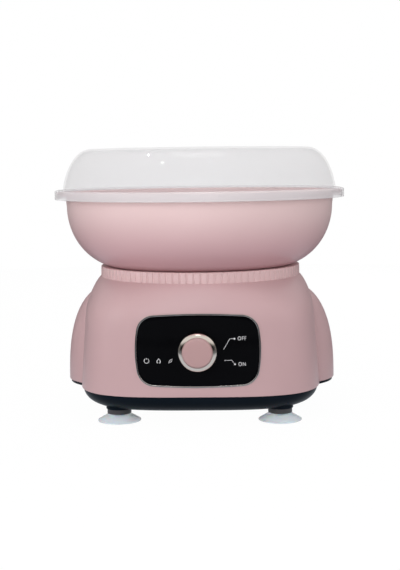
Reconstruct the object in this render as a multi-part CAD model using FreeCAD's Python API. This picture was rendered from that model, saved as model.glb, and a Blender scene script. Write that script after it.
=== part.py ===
import FreeCAD, Part
import math
import os

# Electric table-top cotton candy maker. Millimetres, +Z up, front towards -Y.
# The origin is on the table, on the axis that the motor spins about.

# ---- Fits used throughout ----
running_gap = 0.05            # radial clearance of turning and sliding fits
loose_gap = 0.15              # radial clearance of screws, pegs and trim
past = 1.0                    # how far a cutting tool runs past a face

# ---- Feet ----
foot_inset_x = 41.0           # feet in from the housing's sides
foot_inset_y = 36.0           # feet in from its front and back
cup_radius = 20.6
cup_height = 7.2
cup_lip = 0.9                 # thickness of the cup's thin edge
cup_recess = 2.4              # depth of the hollow that grips the table
cup_neck_radius = 11.2
stem_radius = 11.5
stem_height = 4.8             # stem that shows between the cup and the base
peg_radius = 4.0              # button that holds the cup on the stem
peg_depth = 3.2
stud_radius = 3.0             # threaded stud through the base
foot_boss_radius = 12.5
foot_boss_height = 6.0
foot_nut_radius = 5.8
foot_nut_height = 4.0

# ---- Base pan: the dark dish under the housing ----
pan_depth = 16.6              # from its flat bottom to its upper edge
pan_wall = 2.5
pan_edge_inset = 1.6          # how far the pan's edge stands in from the housing
pan_sweep = 22.5              # how far the curved side sweeps in on the way down
pan_lobe_edge = 2.6           # thickness of the strip under each lobe
seam = 0.4                    # shadow gap between pan and housing
tongue_height = 4.0
tongue_wall = 1.6
vent_slots = 7
vent_width = 3.0
vent_length = 46.0
vent_pitch = 7.5

# ---- Upper housing: rounded square below, round above, a lobe on each side ----
housing_height = 104.1
housing_half_width = 118.0
housing_half_depth = 112.0
housing_squareness = 3.6      # exponent of the plan curve; 2 is an ellipse
housing_draft = 2.44          # front and back lean in this much up to the shoulder
housing_side_draft = 4.6      # the sides lean in this much
shoulder_start = 62.0         # above the housing's lower edge
shoulder_inset = 12.8         # centre of the shoulder's ellipse, in from the collar's edge
shoulder_rise = 48.7          # upright half-axis of that ellipse
shoulder_blend = 1.5          # how late the square plan gives way to a round one
housing_wall = 2.6
mouth_inset = 14.0            # opening that the collar plugs into, in from its edge
lobe_inset = 34.0             # centre of each lobe, in from the housing's side
lobe_reach = 50.5             # sideways half-axis of a lobe
lobe_length = 51.0            # front-to-back half-axis
lobe_height = 95.5
lobe_fullness = 2.5           # exponent of the lobe's upright curve
screw_post_inset = 34.0       # in from the housing's sides
screw_post_y = 38.0
screw_post_radius = 5.0
pan_boss_height = 16.0        # pan bosses that meet the housing's posts
base_screw_radius = 1.8
base_screw_head_radius = 3.4
base_screw_head_height = 1.8
base_screw_recess = 6.0       # depth of the counterbore in the pan
base_screw_bite = 9.0         # thread inside the housing's post

# ---- Control panel, knob and switch ----
panel_width = 117.0
panel_height = 69.0
panel_corner = 17.0
panel_bulge = 1.3             # how far each side bows out
panel_centre = 43.3           # above the housing's lower edge
panel_pocket = 1.3            # depth of the seat in the housing
panel_ledge = 4.0             # width of the seat that carries the panel
panel_proud = 0.3
bezel_width = 1.4
bezel_proud = 0.9
window_radius = 2.6
window_places = (-47.5, -36.3, -25.1)
window_drop = 9.2             # below the knob's axis
window_length = 4.0
knob_radius = 17.6
knob_ring_wall = 3.6
knob_depth = 12.0
knob_edge_round = 2.4
knob_cap_proud = 2.2
knob_cap_round = 2.0
knob_wall = 2.2
knob_gap = 0.5                # air between the knob and the panel
switch_width = 26.0
switch_depth = 15.0
switch_neck_radius = 4.6
switch_neck_length = 3.0      # in front of the panel
switch_shaft_radius = 3.0
switch_nut_radius = 7.5
switch_nut_height = 2.0

# ---- Indicator board ----
board_width = 36.0
board_height = 18.0
board_thickness = 1.6
board_setback = 9.0           # behind the panel's back face
board_post_radius = 2.6
board_post_lift = 6.0         # posts above the lamps' row
board_screw_radius = 1.1
board_screw_head_radius = 2.2
lamp_radius = 1.5
lamp_gap = 1.0                # between a lamp and its window

# ---- Ribbed collar and deck ----
collar_radius = 100.0
collar_taper = 0.2
collar_height = 10.3
collar_round = 0.8
collar_wall = 3.5
collar_lip_width = 6.7        # flat top of the collar around the bowl
collar_lip_depth = 2.0        # how far the bowl drops in
collar_ribs = 96
rib_depth = 0.9
rib_share = 0.6               # part of each pitch that is rib
deck_thickness = 2.5
spigot_height = 4.5
spigot_wall = 2.4
seat_width = 3.0              # ring of the collar that rests on the housing
well_radius = 50.4            # inside of the heater well
well_wall = 2.2
well_depth = 9.5              # well floor below the deck
well_rim_height = 5.0         # rim that centres the bowl
shaft_hole_radius = 9.5
collar_screw_count = 4
collar_screw_radius = 1.4
collar_screw_head_radius = 2.8
collar_screw_head_height = 1.6
collar_screw_bite = 4.6
collar_boss_radius = 3.4

# ---- Heater ----
shield_thickness = 1.0
shield_play = 0.6
shield_height = 19.0
element_circle = 30.0
element_radius = 3.2
element_height = 11.5         # element's centre above the shield's floor
element_gap_angle = 28.0
element_leg_radius = 2.0
element_leg_hole = 3.0
element_leg_reach = 6.0       # legs below the deck's well
insulator_radius = 4.8
insulator_count = 3
shield_screw_circle = 42.0
shield_screw_radius = 1.5
shield_screw_head_radius = 3.0
shield_screw_head_height = 1.5
cutout_length = 14.0
cutout_width = 9.0
cutout_height = 5.0
cutout_place = 24.0

# ---- Motor ----
motor_radius = 29.0
motor_length = 46.0
motor_wall = 1.6
motor_drop = 15.0             # top of the motor below the well's underside
end_plate_thickness = 3.0
magnet_thickness = 5.0
magnet_angle = 130.0
air_gap = 0.8
armature_length = 24.0
winding_overhang = 4.0
winding_inset = 3.0
commutator_radius = 8.0
commutator_length = 8.0
brush_width = 5.0
brush_gap = 0.3
bearing_radius = 7.0
bearing_length = 6.0
shaft_radius = 4.0
shaft_below_fan = 1.5
bracket_thickness = 2.0
bracket_rim = 2.0             # bracket beyond the motor's edge
bracket_hole_radius = 10.0
mount_circle = 42.0
bracket_ear_radius = 8.0
mount_count = 3
damper_radius = 7.0
damper_flange = 2.5
damper_neck_radius = 4.5
mount_post_radius = 5.5
mount_screw_radius = 2.0
mount_screw_head_radius = 4.5
mount_screw_head_height = 2.2
mount_screw_bite = 6.0
plate_screw_circle = 16.0
plate_screw_radius = 1.6
plate_screw_head_radius = 3.0
plate_screw_head_height = 1.8
fan_radius = 25.0
fan_hub_radius = 8.5
fan_height = 9.0
fan_blades = 6
fan_blade_thickness = 1.4
fan_blade_tilt = 35.0
fan_below_bearing = 1.5

# ---- Extractor head: the spinning sugar pan ----
head_clear = 3.2              # above the heating element
head_floor_radius = 30.0
head_band_radius = 42.0
head_cone_height = 8.5
head_band_height = 13.0
head_wall = 1.2
head_flange_width = 3.0
slot_count = 36
slot_width = 1.4
slot_height = 8.5
cover_rise = 9.0
cover_mouth_radius = 19.0
cover_lip_height = 3.0
hub_radius = 8.0
hub_length = 22.0
hub_flange_radius = 14.0
hub_flange_thickness = 2.0
rivet_circle = 11.0
rivet_count = 3
rivet_radius = 1.3
rivet_head_radius = 2.2
rivet_head_height = 0.9
shaft_below_hub_top = 1.0
pin_radius = 1.5
pin_overhang = 2.8            # pin beyond the shaft on each side
pin_height = 5.0              # pin above the hub's lower end

# ---- Floss bowl ----
bowl_rim_radius = 133.9
bowl_floor_inset = 14.7       # edge of the bowl's floor, in from the collar's lip
bowl_height = 75.4
bowl_curve_height = 61.0
bowl_draft = 1.2              # the wall above the curve leans out this much
bowl_wall = 2.2
bowl_lip_width = 7.5
bowl_lip_thickness = 2.6
bowl_dam_height = 16.0
bowl_seat_gap = 0.3
bowl_centring_gap = 0.4

# ---- Lid ----
lid_step = 5.1                # the lid's wall stands in this far from the bowl's lip
lid_curve_width = 28.4        # level half-axis of the ellipse that the lid's wall follows
lid_curve_height = 55.8       # its upright half-axis, from the lid's top
lid_height = 42.1             # above the bowl's rim
lid_wall = 1.8
lid_skirt_play = 1.2          # between the skirt and the bowl's lip
lid_skirt_drop = 7.0          # below the bowl's rim
lid_flange_round = 1.7
lid_seat_gap = 0.2

# ---- Cord inlet and wiring ----
inlet_height = 21.0           # above the housing's lower edge
grommet_radius = 7.0
grommet_flange_radius = 9.5
grommet_flange = 2.0
grommet_bore = 3.6
grommet_reach = 5.0           # inside the wall
terminal_width = 26.0
terminal_depth = 12.0
terminal_height = 11.0
terminal_inset = 50.0         # in from the back of the housing

# ---- Heights above the table that follow from the sizes above ----
pan_bottom = cup_height + stem_height
pan_inside = pan_bottom + pan_wall
pan_top = pan_bottom + pan_depth
housing_bottom = pan_top + seam
housing_top = housing_bottom + housing_height
ceiling = housing_top - housing_wall
shoulder_z = housing_bottom + shoulder_start
panel_z = housing_bottom + panel_centre
window_z = panel_z - window_drop
collar_top = housing_top + collar_height
deck_top = collar_top - collar_lip_depth
deck_under = deck_top - deck_thickness
well_floor = deck_top - well_depth
well_under = well_floor - deck_thickness
shield_floor = well_floor + shield_thickness
element_z = shield_floor + element_height
motor_top = well_under - motor_drop
motor_bottom = motor_top - motor_length
plate_top = motor_top + end_plate_thickness
bracket_top = plate_top + bracket_thickness
damper_top = bracket_top + damper_flange
bearing_low = motor_bottom + motor_wall - bearing_length
fan_top = bearing_low - fan_below_bearing
fan_bottom = fan_top - fan_height
head_bottom = element_z + element_radius + head_clear
head_floor = head_bottom + head_wall
band_low = head_bottom + head_cone_height
band_top = band_low + head_band_height
cover_seat = band_top + head_wall
hub_bottom = head_bottom - hub_flange_thickness
hub_top = hub_bottom + hub_length
pin_z = hub_bottom + pin_height
bowl_bottom = deck_top + bowl_seat_gap
bowl_rim = bowl_bottom + bowl_height
lid_seat = bowl_rim + lid_seat_gap
lid_shelf = lid_seat + lid_wall
lid_top = bowl_rim + lid_height
inlet_z = housing_bottom + inlet_height
boss_meet = pan_bottom + pan_boss_height

# ---- Places and radii that follow ----
foot_x = housing_half_width - foot_inset_x
foot_y = housing_half_depth - foot_inset_y
lobe_centre = housing_half_width - lobe_inset
screw_post_x = housing_half_width - screw_post_inset
terminal_back = housing_half_depth - terminal_inset
shoulder_centre = collar_radius - shoulder_inset
housing_mouth_radius = collar_radius - mouth_inset
magnet_outer = motor_radius - motor_wall - loose_gap
magnet_inner = magnet_outer - magnet_thickness
armature_radius = magnet_inner - air_gap
collar_lip_radius = collar_radius - collar_taper - collar_round - collar_lip_width
collar_screw_circle = (housing_mouth_radius + seat_width + collar_radius - collar_wall) / 2
dam_inner = well_radius + well_wall + bowl_centring_gap
bowl_floor_radius = collar_lip_radius - bowl_floor_inset
bowl_lip_radius = bowl_rim_radius + bowl_lip_width
lid_radius = bowl_lip_radius - lid_step
lid_curve_centre = lid_top - lid_curve_height
lid_curve_reach = math.sqrt(1 - ((lid_shelf - lid_curve_centre) / lid_curve_height) ** 2)
lid_top_radius = lid_radius - lid_curve_width * lid_curve_reach
skirt_inner = bowl_lip_radius + lid_skirt_play
skirt_outer = skirt_inner + lid_wall
knob_cap_radius = knob_radius - knob_ring_wall


# ---- Shape helpers ----

def at(x, y, z):
    return FreeCAD.Vector(x, y, z)


def cylinder(radius, low, high, place=(0.0, 0.0)):
    return Part.makeCylinder(radius, high - low, at(place[0], place[1], low))


def tube(outer, inner, low, high, place=(0.0, 0.0)):
    return cylinder(outer, low, high, place).cut(cylinder(inner, low - past, high + past, place))


def box(width, depth, height, low, place=(0.0, 0.0)):
    """Box centred on a place, standing on the height low."""
    corner = at(place[0] - width / 2, place[1] - depth / 2, low)
    return Part.makeBox(width, depth, height, corner)


def hexagon(radius, low, high, place=(0.0, 0.0)):
    corners = []
    for index in range(7):
        angle = math.radians(60 * index)
        x = place[0] + radius * math.cos(angle)
        y = place[1] + radius * math.sin(angle)
        corners.append(at(x, y, low))
    return Part.Face(Part.makePolygon(corners)).extrude(at(0, 0, high - low))


def merge(shapes):
    return shapes[0].multiFuse(shapes[1:]).removeSplitter()


def without(shape, tools):
    return shape.cut(Part.makeCompound(tools))


def on_circle(circle, count, start=0.0):
    """Places spaced evenly on a circle about the axis."""
    places = []
    for index in range(count):
        angle = math.radians(start + 360.0 * index / count)
        places.append((circle * math.cos(angle), circle * math.sin(angle)))
    return places


def turned_about_axis(shape, angle):
    copy = shape.copy()
    copy.rotate(at(0, 0, 0), at(0, 0, 1), angle)
    return copy


def screw(radius, length, head_radius, head_height, head_low, place):
    """Pan-head screw, head down, its shank rising from the head."""
    head = cylinder(head_radius, head_low, head_low + head_height, place)
    shank_top = head_low + head_height + length
    return merge([head, cylinder(radius, head_low, shank_top, place)])


class Profile:
    """A closed outline of radius and height, turned about the axis."""

    def __init__(self, radius, height):
        self.first = at(radius, 0, height)
        self.last = self.first
        self.edges = []

    def line(self, radius, height):
        end = at(radius, 0, height)
        self.edges.append(Part.makeLine(self.last, end))
        self.last = end
        return self

    def quarter(self, radius, height, level_first):
        """Quarter of an upright ellipse; it starts level, or starts upright."""
        end = at(radius, 0, height)
        if level_first:
            centre = at(self.last.x, 0, height)
        else:
            centre = at(radius, 0, self.last.z)
        self.edges.append(quarter_ellipse(centre, self.last, end))
        self.last = end
        return self

    def follow(self, edge, radius, height):
        self.edges.append(edge)
        self.last = at(radius, 0, height)
        return self

    def turned(self):
        if (self.last - self.first).Length > 0:
            self.line(self.first.x, self.first.z)
        face = Part.Face(Part.Wire(self.edges))
        return face.revolve(at(0, 0, 0), at(0, 0, 1), 360)


def quarter_ellipse(centre, start, end):
    """Quarter ellipse between the ends of its two half-axes."""
    if (start - centre).Length >= (end - centre).Length:
        ellipse = Part.Ellipse(start, end, centre)
    else:
        ellipse = Part.Ellipse(end, start, centre)
    return Part.ArcOfEllipse(ellipse, 0, math.pi / 2).toShape()


def falling_arc(centre, half_width, half_height, low):
    """Tall upright ellipse from its top down to the height low, and its radius there."""
    fall = math.acos((low - centre.z) / half_height)
    top = centre + at(0, 0, half_height)
    ellipse = Part.Ellipse(top, centre + at(half_width, 0, 0), centre)
    arc = Part.ArcOfEllipse(ellipse, 0, fall).toShape()
    return arc, centre.x + half_width * math.sin(fall)


def superellipse_section(half_width, half_depth, squareness, height):
    """Closed plan curve; squareness 2 is an ellipse and more is squarer."""
    count = 32
    points = []
    for index in range(count):
        angle = 2 * math.pi * index / count
        across = abs(math.cos(angle) / half_width) ** squareness
        along = abs(math.sin(angle) / half_depth) ** squareness
        reach = (across + along) ** (-1.0 / squareness)
        points.append(at(reach * math.cos(angle), reach * math.sin(angle), height))
    curve = Part.BSplineCurve()
    curve.interpolate(points, PeriodicFlag=True)
    return Part.Wire(curve.toShape())


# ---- Forms shared by the housing, the pan and the panel ----

def housing_section(height, inset, placed):
    """The housing's plan at a height, drawn in by inset and set at placed."""
    leaned = min((height - housing_bottom) / shoulder_start, 1)
    half_width = housing_half_width - housing_side_draft * leaned
    narrower = half_width - (housing_half_depth - housing_draft * leaned)
    squareness = housing_squareness
    if height > shoulder_z:
        climb = (height - shoulder_z) / shoulder_rise
        half_width = shoulder_centre + (half_width - shoulder_centre) * math.sqrt(1 - climb ** 2)
        roundness = (height - shoulder_z) / (housing_top - shoulder_z)
        narrower = narrower * (1 - roundness)
        squareness = 2 + (squareness - 2) * (1 - roundness ** shoulder_blend)
    return superellipse_section(half_width - inset, half_width - narrower - inset,
                                squareness, placed)


def housing_body(inset, low, high):
    """The housing's main form without its lobes, drawn in by inset."""
    steps = 4
    top_angle = math.asin((housing_top - shoulder_z) / shoulder_rise)
    heights = [housing_bottom + shoulder_start * step / steps for step in range(steps)]
    for step in range(steps + 1):
        heights.append(shoulder_z + shoulder_rise * math.sin(top_angle * step / steps))
    stretch = (high - low) / (housing_top - housing_bottom)
    sections = []
    for height in heights:
        placed = low + (height - housing_bottom) * stretch
        sections.append(housing_section(height, inset, placed))
    return Part.makeLoft(sections, True)


def lobe(side, inset, low):
    """Domed lobe on one side; its inner half lies inside the main form."""
    reach = lobe_reach - inset
    rise = lobe_height - inset
    count = 11
    points = []
    for index in range(count):
        angle = math.pi / 2 * index / (count - 1)
        out = reach * math.cos(angle) ** (2 / lobe_fullness)
        up = rise * math.sin(angle) ** (2 / lobe_fullness)
        points.append(at(out, 0, low + up * (1 - (low - housing_bottom) / rise)))
    points[-1] = at(0, 0, points[-1].z)
    curve = Part.BSplineCurve()
    curve.interpolate(points)
    outline = Part.Wire([
        Part.makeLine(at(0, 0, low), points[0]),
        curve.toShape(),
        Part.makeLine(points[-1], at(0, 0, low)),
    ])
    dome = Part.Face(outline).revolve(at(0, 0, 0), at(0, 0, 1), 360)
    lengthen = FreeCAD.Matrix()
    lengthen.scale(1.0, (lobe_length - inset) / reach, 1.0)
    dome = dome.transformGeometry(lengthen)
    dome.translate(at(side * lobe_centre, 0, 0))
    return dome


def pan_dish(inset, floor):
    """Dish whose side curves in on the way down, drawn in by inset."""
    steps = 5
    sections = []
    for step in range(steps + 1):
        angle = math.pi / 2 * step / steps
        height = pan_top - (pan_top - floor) * math.sin(angle)
        sweep = pan_edge_inset + inset + pan_sweep * (1 - math.cos(angle))
        sections.append(superellipse_section(housing_half_width - sweep,
                                             housing_half_depth - sweep,
                                             housing_squareness, height))
    return Part.makeLoft(sections, True)


def plan_prism(inset, low, high):
    """Upright block with the plan of the housing's lower edge."""
    section = superellipse_section(housing_half_width - inset, housing_half_depth - inset,
                                   housing_squareness, low)
    return Part.Face(section).extrude(at(0, 0, high - low))


def panel_outline(inset):
    """Rounded rectangle with bowed sides in the XZ plane, drawn in by inset."""
    half_width = panel_width / 2 - inset
    half_height = panel_height / 2 - inset
    corner = panel_corner - inset
    centre = at(half_width - corner - panel_bulge, 0, half_height - corner - panel_bulge)
    bow = (corner + panel_bulge) ** 2 - corner ** 2
    level_radius = (centre.x ** 2 + bow) / (2 * panel_bulge)
    upright_radius = (centre.z ** 2 + bow) / (2 * panel_bulge)

    def corner_point(bow_centre):
        """Where the corner's arc meets the side that is centred at bow_centre."""
        away = centre - bow_centre
        return centre + away.normalize() * corner

    level_end = corner_point(at(0, 0, half_height - level_radius))
    upright_end = corner_point(at(half_width - upright_radius, 0, 0))
    diagonal = centre + at(1, 0, 1).normalize() * corner

    def arc(points, flip_x, flip_z):
        placed = [at(p.x * flip_x, 0, panel_z + p.z * flip_z) for p in points]
        return Part.Arc(*placed).toShape()

    level_mirror = at(-level_end.x, 0, level_end.z)
    upright_mirror = at(upright_end.x, 0, -upright_end.z)
    edges = []
    for flip in (1, -1):
        edges.append(arc([level_mirror, at(0, 0, half_height), level_end], flip, flip))
        edges.append(arc([level_end, diagonal, upright_end], flip, flip))
        edges.append(arc([upright_end, at(half_width, 0, 0), upright_mirror], flip, flip))
        edges.append(arc([upright_end, diagonal, level_end], flip, -flip))
    return Part.Wire(edges)


def panel_prism(inset):
    """The panel's outline swept through the front wall."""
    prism = Part.Face(panel_outline(inset)).extrude(at(0, -housing_half_depth, 0))
    prism.translate(at(0, -housing_half_depth / 2, 0))
    return prism


def front_skin(outset, depth):
    """Shell along the housing's wall, from outset in front of it to depth behind it."""
    outer = housing_body(-outset, housing_bottom, housing_top)
    return outer.cut(housing_body(depth, housing_bottom, housing_top))


def lean(reach):
    """How far the leaning wall comes forward over a drop of reach."""
    return housing_draft * reach / shoulder_start


def wall_y(height):
    """How far the middle of the front or back wall stands from the axis."""
    return housing_half_depth - lean(height - housing_bottom)


panel_back = panel_pocket - loose_gap + panel_proud
knob_back = knob_gap + lean(knob_radius)


def on_panel(shape, x=0.0, z=panel_z):
    """Turns a shape that was drawn about the axis to face forward from the panel's front."""
    placed = shape.copy()
    placed.rotate(at(0, 0, 0), at(1, 0, 0), 90)
    placed.translate(at(x, -wall_y(panel_z) - panel_proud, z))
    return placed


def four_places(x, y):
    return [(-x, -y), (x, -y), (-x, y), (x, y)]


# ---- Housing and pan ----

def upper_housing():
    outer = [housing_body(0, housing_bottom, housing_top)]
    inner = [housing_body(housing_wall, housing_bottom - past, ceiling)]
    for side in (-1, 1):
        outer.append(lobe(side, 0, housing_bottom))
        inner.append(lobe(side, housing_wall, housing_bottom - past))
    shell = merge(outer).cut(merge(inner))
    mouth = cylinder(housing_mouth_radius, ceiling - past, housing_top + past)
    pocket = panel_prism(-loose_gap).common(front_skin(past, panel_pocket))
    shell = without(shell, [mouth, pocket, panel_prism(panel_ledge)])
    envelope = housing_body(housing_wall / 2, housing_bottom, housing_top)
    posts = []
    for place in four_places(screw_post_x, screw_post_y):
        post = cylinder(screw_post_radius, boss_meet, ceiling + housing_wall / 2, place)
        posts.append(post.common(envelope))
    shell = merge([shell] + posts)
    holes = []
    for place in four_places(screw_post_x, screw_post_y):
        depth = boss_meet + base_screw_bite + past
        holes.append(cylinder(base_screw_radius + running_gap, boss_meet - past, depth, place))
    for place in on_circle(collar_screw_circle, collar_screw_count, 45):
        hole_radius = collar_screw_radius + loose_gap
        holes.append(cylinder(hole_radius, ceiling - past, housing_top + past, place))
    holes.append(inlet_rod(grommet_radius + loose_gap, -2 * past - housing_wall, past))
    return without(shell, holes)


def inlet_rod(radius, near, far):
    """Cylinder through the back wall, measured outward from the wall's outer face."""
    start = at(0, wall_y(inlet_z) + near, inlet_z)
    return Part.makeCylinder(radius, far - near, start, at(0, 1, 0))


def bottom_pan():
    outer = [pan_dish(0, pan_bottom)]
    for side in (-1, 1):
        strip = superellipse_section(lobe_reach - pan_edge_inset, lobe_length - pan_edge_inset,
                                     2, pan_top - pan_lobe_edge)
        strip = Part.Face(strip).extrude(at(0, 0, pan_lobe_edge))
        strip.translate(at(side * lobe_centre, 0, 0))
        outer.append(strip)
    for place in four_places(foot_x, foot_y):
        outer.append(cylinder(foot_boss_radius, pan_bottom, pan_bottom + foot_boss_height, place))
    shell = merge(outer).cut(pan_dish(pan_wall, pan_inside))
    tongue_outset = housing_wall + loose_gap + housing_side_draft * tongue_height / shoulder_start
    tongue_top = housing_bottom + tongue_height
    tongue = plan_prism(tongue_outset, pan_top - pan_lobe_edge, tongue_top)
    tongue = tongue.cut(plan_prism(tongue_outset + tongue_wall, pan_bottom, tongue_top + past))
    added = [tongue]
    for place in four_places(foot_x, foot_y):
        added.append(cylinder(foot_boss_radius, pan_bottom + pan_wall / 2,
                              pan_bottom + foot_boss_height, place))
    for place in four_places(screw_post_x, screw_post_y):
        added.append(cylinder(screw_post_radius, pan_bottom + pan_wall / 2, boss_meet, place))
    shell = merge([shell] + added)
    holes = []
    for place in four_places(foot_x, foot_y):
        holes.append(cylinder(stud_radius + loose_gap, pan_bottom - past,
                              pan_bottom + foot_boss_height + past, place))
    for place in four_places(screw_post_x, screw_post_y):
        holes.append(cylinder(base_screw_radius + loose_gap, pan_bottom, boss_meet + past, place))
        holes.append(cylinder(base_screw_head_radius + loose_gap, pan_bottom - past,
                              pan_bottom + base_screw_recess, place))
    for index in range(vent_slots):
        x = (index - (vent_slots - 1) / 2) * vent_pitch
        holes.append(box(vent_width, vent_length, pan_wall + 2 * past, pan_bottom - past, (x, 0)))
    return without(shell, holes)


def base_screws():
    head_low = pan_bottom + base_screw_recess - base_screw_head_height
    length = boss_meet + base_screw_bite - pan_bottom - base_screw_recess
    return Part.makeCompound([
        screw(base_screw_radius, length, base_screw_head_radius, base_screw_head_height,
              head_low, place)
        for place in four_places(screw_post_x, screw_post_y)])


# ---- Feet ----

def foot_stem(place):
    stem = cylinder(stem_radius, cup_height, pan_bottom, place)
    peg = cylinder(peg_radius, cup_height - peg_depth, cup_height, place)
    stud_top = pan_bottom + foot_boss_height + foot_nut_height + past
    stud = cylinder(stud_radius, pan_bottom, stud_top, place)
    return merge([stem, peg, stud])


def suction_cup(place):
    outline = Profile(0, cup_recess)
    outline.line(peg_radius, cup_recess)
    outline.quarter(cup_radius - cup_lip, 0, True)
    outline.line(cup_radius, 0)
    outline.line(cup_radius, cup_lip)
    outline.line(cup_neck_radius, cup_height - cup_lip)
    outline.line(cup_neck_radius, cup_height)
    outline.line(peg_radius + loose_gap, cup_height)
    outline.line(peg_radius + loose_gap, cup_height - peg_depth - loose_gap)
    outline.line(0, cup_height - peg_depth - loose_gap)
    cup = outline.turned()
    cup.translate(at(place[0], place[1], 0))
    return cup


def foot_nuts():
    low = pan_bottom + foot_boss_height
    nuts = []
    for place in four_places(foot_x, foot_y):
        nut = hexagon(foot_nut_radius, low, low + foot_nut_height, place)
        hole = cylinder(stud_radius + running_gap, low - past, low + foot_nut_height + past, place)
        nuts.append(nut.cut(hole))
    return Part.makeCompound(nuts)


# ---- Panel, knob, switch and indicator board ----

def window_rod(radius, back, front, x):
    return on_panel(cylinder(radius, back, front), x, window_z)


def control_panel():
    plate = panel_prism(bezel_width + loose_gap)
    plate = plate.common(front_skin(panel_proud, panel_pocket - loose_gap))
    posts = []
    for x, z in board_post_places():
        post = cylinder(board_post_radius, -panel_back - board_setback, -panel_back + loose_gap)
        posts.append(on_panel(post, x, z).common(housing_body(0, housing_bottom, housing_top)))
    plate = merge([plate] + posts)
    holes = [on_panel(cylinder(switch_neck_radius + loose_gap, -panel_back - past, past))]
    for x in window_places:
        holes.append(window_rod(window_radius + running_gap, -window_length - past, past, x))
    for x, z in board_post_places():
        hole = cylinder(board_screw_radius, -panel_back - board_setback - past, -panel_back - past)
        holes.append(on_panel(hole, x, z))
    return without(plate, holes)


def board_post_places():
    z = window_z + board_post_lift
    spread = (window_places[1] - window_places[0]) / 2
    return [(window_places[0] + spread, z), (window_places[2] - spread, z)]


def panel_bezel():
    ring = panel_prism(0).cut(panel_prism(bezel_width))
    return ring.common(front_skin(bezel_proud, panel_pocket - loose_gap))


def icon_window(x):
    rod = window_rod(window_radius, -window_length, past, x)
    return rod.common(housing_body(-panel_proud, housing_bottom, housing_top))


def board_face():
    """Front face of the indicator board, measured forward from the panel's front."""
    return -panel_back - board_setback


def indicator_board():
    middle = sum(window_places) / len(window_places)
    face = board_face()
    board = box(board_width, board_height, board_thickness, face - board_thickness)
    board = on_panel(board, middle, window_z + board_post_lift / 2)
    holes = []
    for x, z in board_post_places():
        hole = cylinder(board_screw_radius + loose_gap, face - board_thickness - past, face + past)
        holes.append(on_panel(hole, x, z))
    return without(board, holes)


def indicator_lamps():
    lamps = []
    for x in window_places:
        body = cylinder(lamp_radius, board_face(), -window_length - lamp_gap - lamp_radius)
        dome = Part.makeSphere(lamp_radius, at(0, 0, -window_length - lamp_gap - lamp_radius))
        lamps.append(on_panel(merge([body, dome]), x, window_z))
    return Part.makeCompound(lamps)


def board_screws():
    back = board_face() - board_thickness
    screws = []
    for x, z in board_post_places():
        head = cylinder(board_screw_head_radius, back - board_thickness, back)
        shank = cylinder(board_screw_radius - running_gap, back - board_thickness,
                         board_face() + board_setback / 2)
        screws.append(on_panel(merge([head, shank]), x, z))
    return Part.makeCompound(screws)


def switch_front():
    """Front of the switch's body, measured forward from the panel's front."""
    return -panel_back - loose_gap - lean(switch_width / 2)


def rotary_switch():
    front = switch_front()
    body = box(switch_width, switch_width, switch_depth, front - switch_depth)
    neck = cylinder(switch_neck_radius, front, switch_neck_length)
    bore = cylinder(switch_shaft_radius + running_gap, front - switch_depth + knob_wall,
                    switch_neck_length + past)
    return on_panel(merge([body, neck]).cut(bore))


def switch_nut():
    low = loose_gap + lean(switch_nut_radius)
    nut = hexagon(switch_nut_radius, low, low + switch_nut_height)
    hole = cylinder(switch_neck_radius + running_gap, low - past, low + switch_nut_height + past)
    return on_panel(nut.cut(hole))


def switch_shaft():
    back = switch_front() - switch_depth + knob_wall + loose_gap
    return on_panel(cylinder(switch_shaft_radius, back, knob_back + knob_depth - knob_wall))


def knob_ring():
    outline = Profile(knob_cap_radius + running_gap, knob_back)
    outline.line(knob_radius, knob_back)
    outline.line(knob_radius, knob_back + knob_depth - knob_edge_round)
    outline.quarter(knob_radius - knob_edge_round, knob_back + knob_depth, False)
    outline.line(knob_cap_radius + running_gap, knob_back + knob_depth)
    return on_panel(outline.turned())


def knob_cap():
    front = knob_back + knob_depth
    boss_radius = switch_shaft_radius + knob_wall
    boss_back = switch_neck_length + knob_gap
    outline = Profile(switch_shaft_radius + running_gap, boss_back)
    outline.line(boss_radius, boss_back)
    outline.line(boss_radius, front - knob_wall)
    outline.line(knob_cap_radius - knob_wall, front - knob_wall)
    outline.line(knob_cap_radius - knob_wall, knob_back)
    outline.line(knob_cap_radius, knob_back)
    outline.line(knob_cap_radius, front + knob_cap_proud - knob_cap_round)
    outline.quarter(knob_cap_radius - knob_cap_round, front + knob_cap_proud, False)
    outline.line(0, front + knob_cap_proud)
    outline.line(0, front - knob_wall + running_gap)
    outline.line(switch_shaft_radius + running_gap, front - knob_wall + running_gap)
    return on_panel(outline.turned())


# ---- Ribbed collar with its deck and heater well ----

def ribbed_block(low, high):
    """Block with an upright rib round its edge at every pitch."""
    pitch = 2 * math.pi / collar_ribs
    half_rib = pitch * rib_share / 2

    def point(angle, radius):
        return at(radius * math.cos(angle), radius * math.sin(angle), low)

    edges = []
    for index in range(collar_ribs):
        middle = pitch * index
        rib = [point(middle - half_rib, collar_radius), point(middle, collar_radius),
               point(middle + half_rib, collar_radius)]
        groove = [rib[2], point(middle + pitch / 2, collar_radius - rib_depth),
                  point(middle + pitch - half_rib, collar_radius)]
        edges.append(Part.Arc(*rib).toShape())
        edges.append(Part.Arc(*groove).toShape())
    return Part.Face(Part.Wire(edges)).extrude(at(0, 0, high - low))


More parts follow.
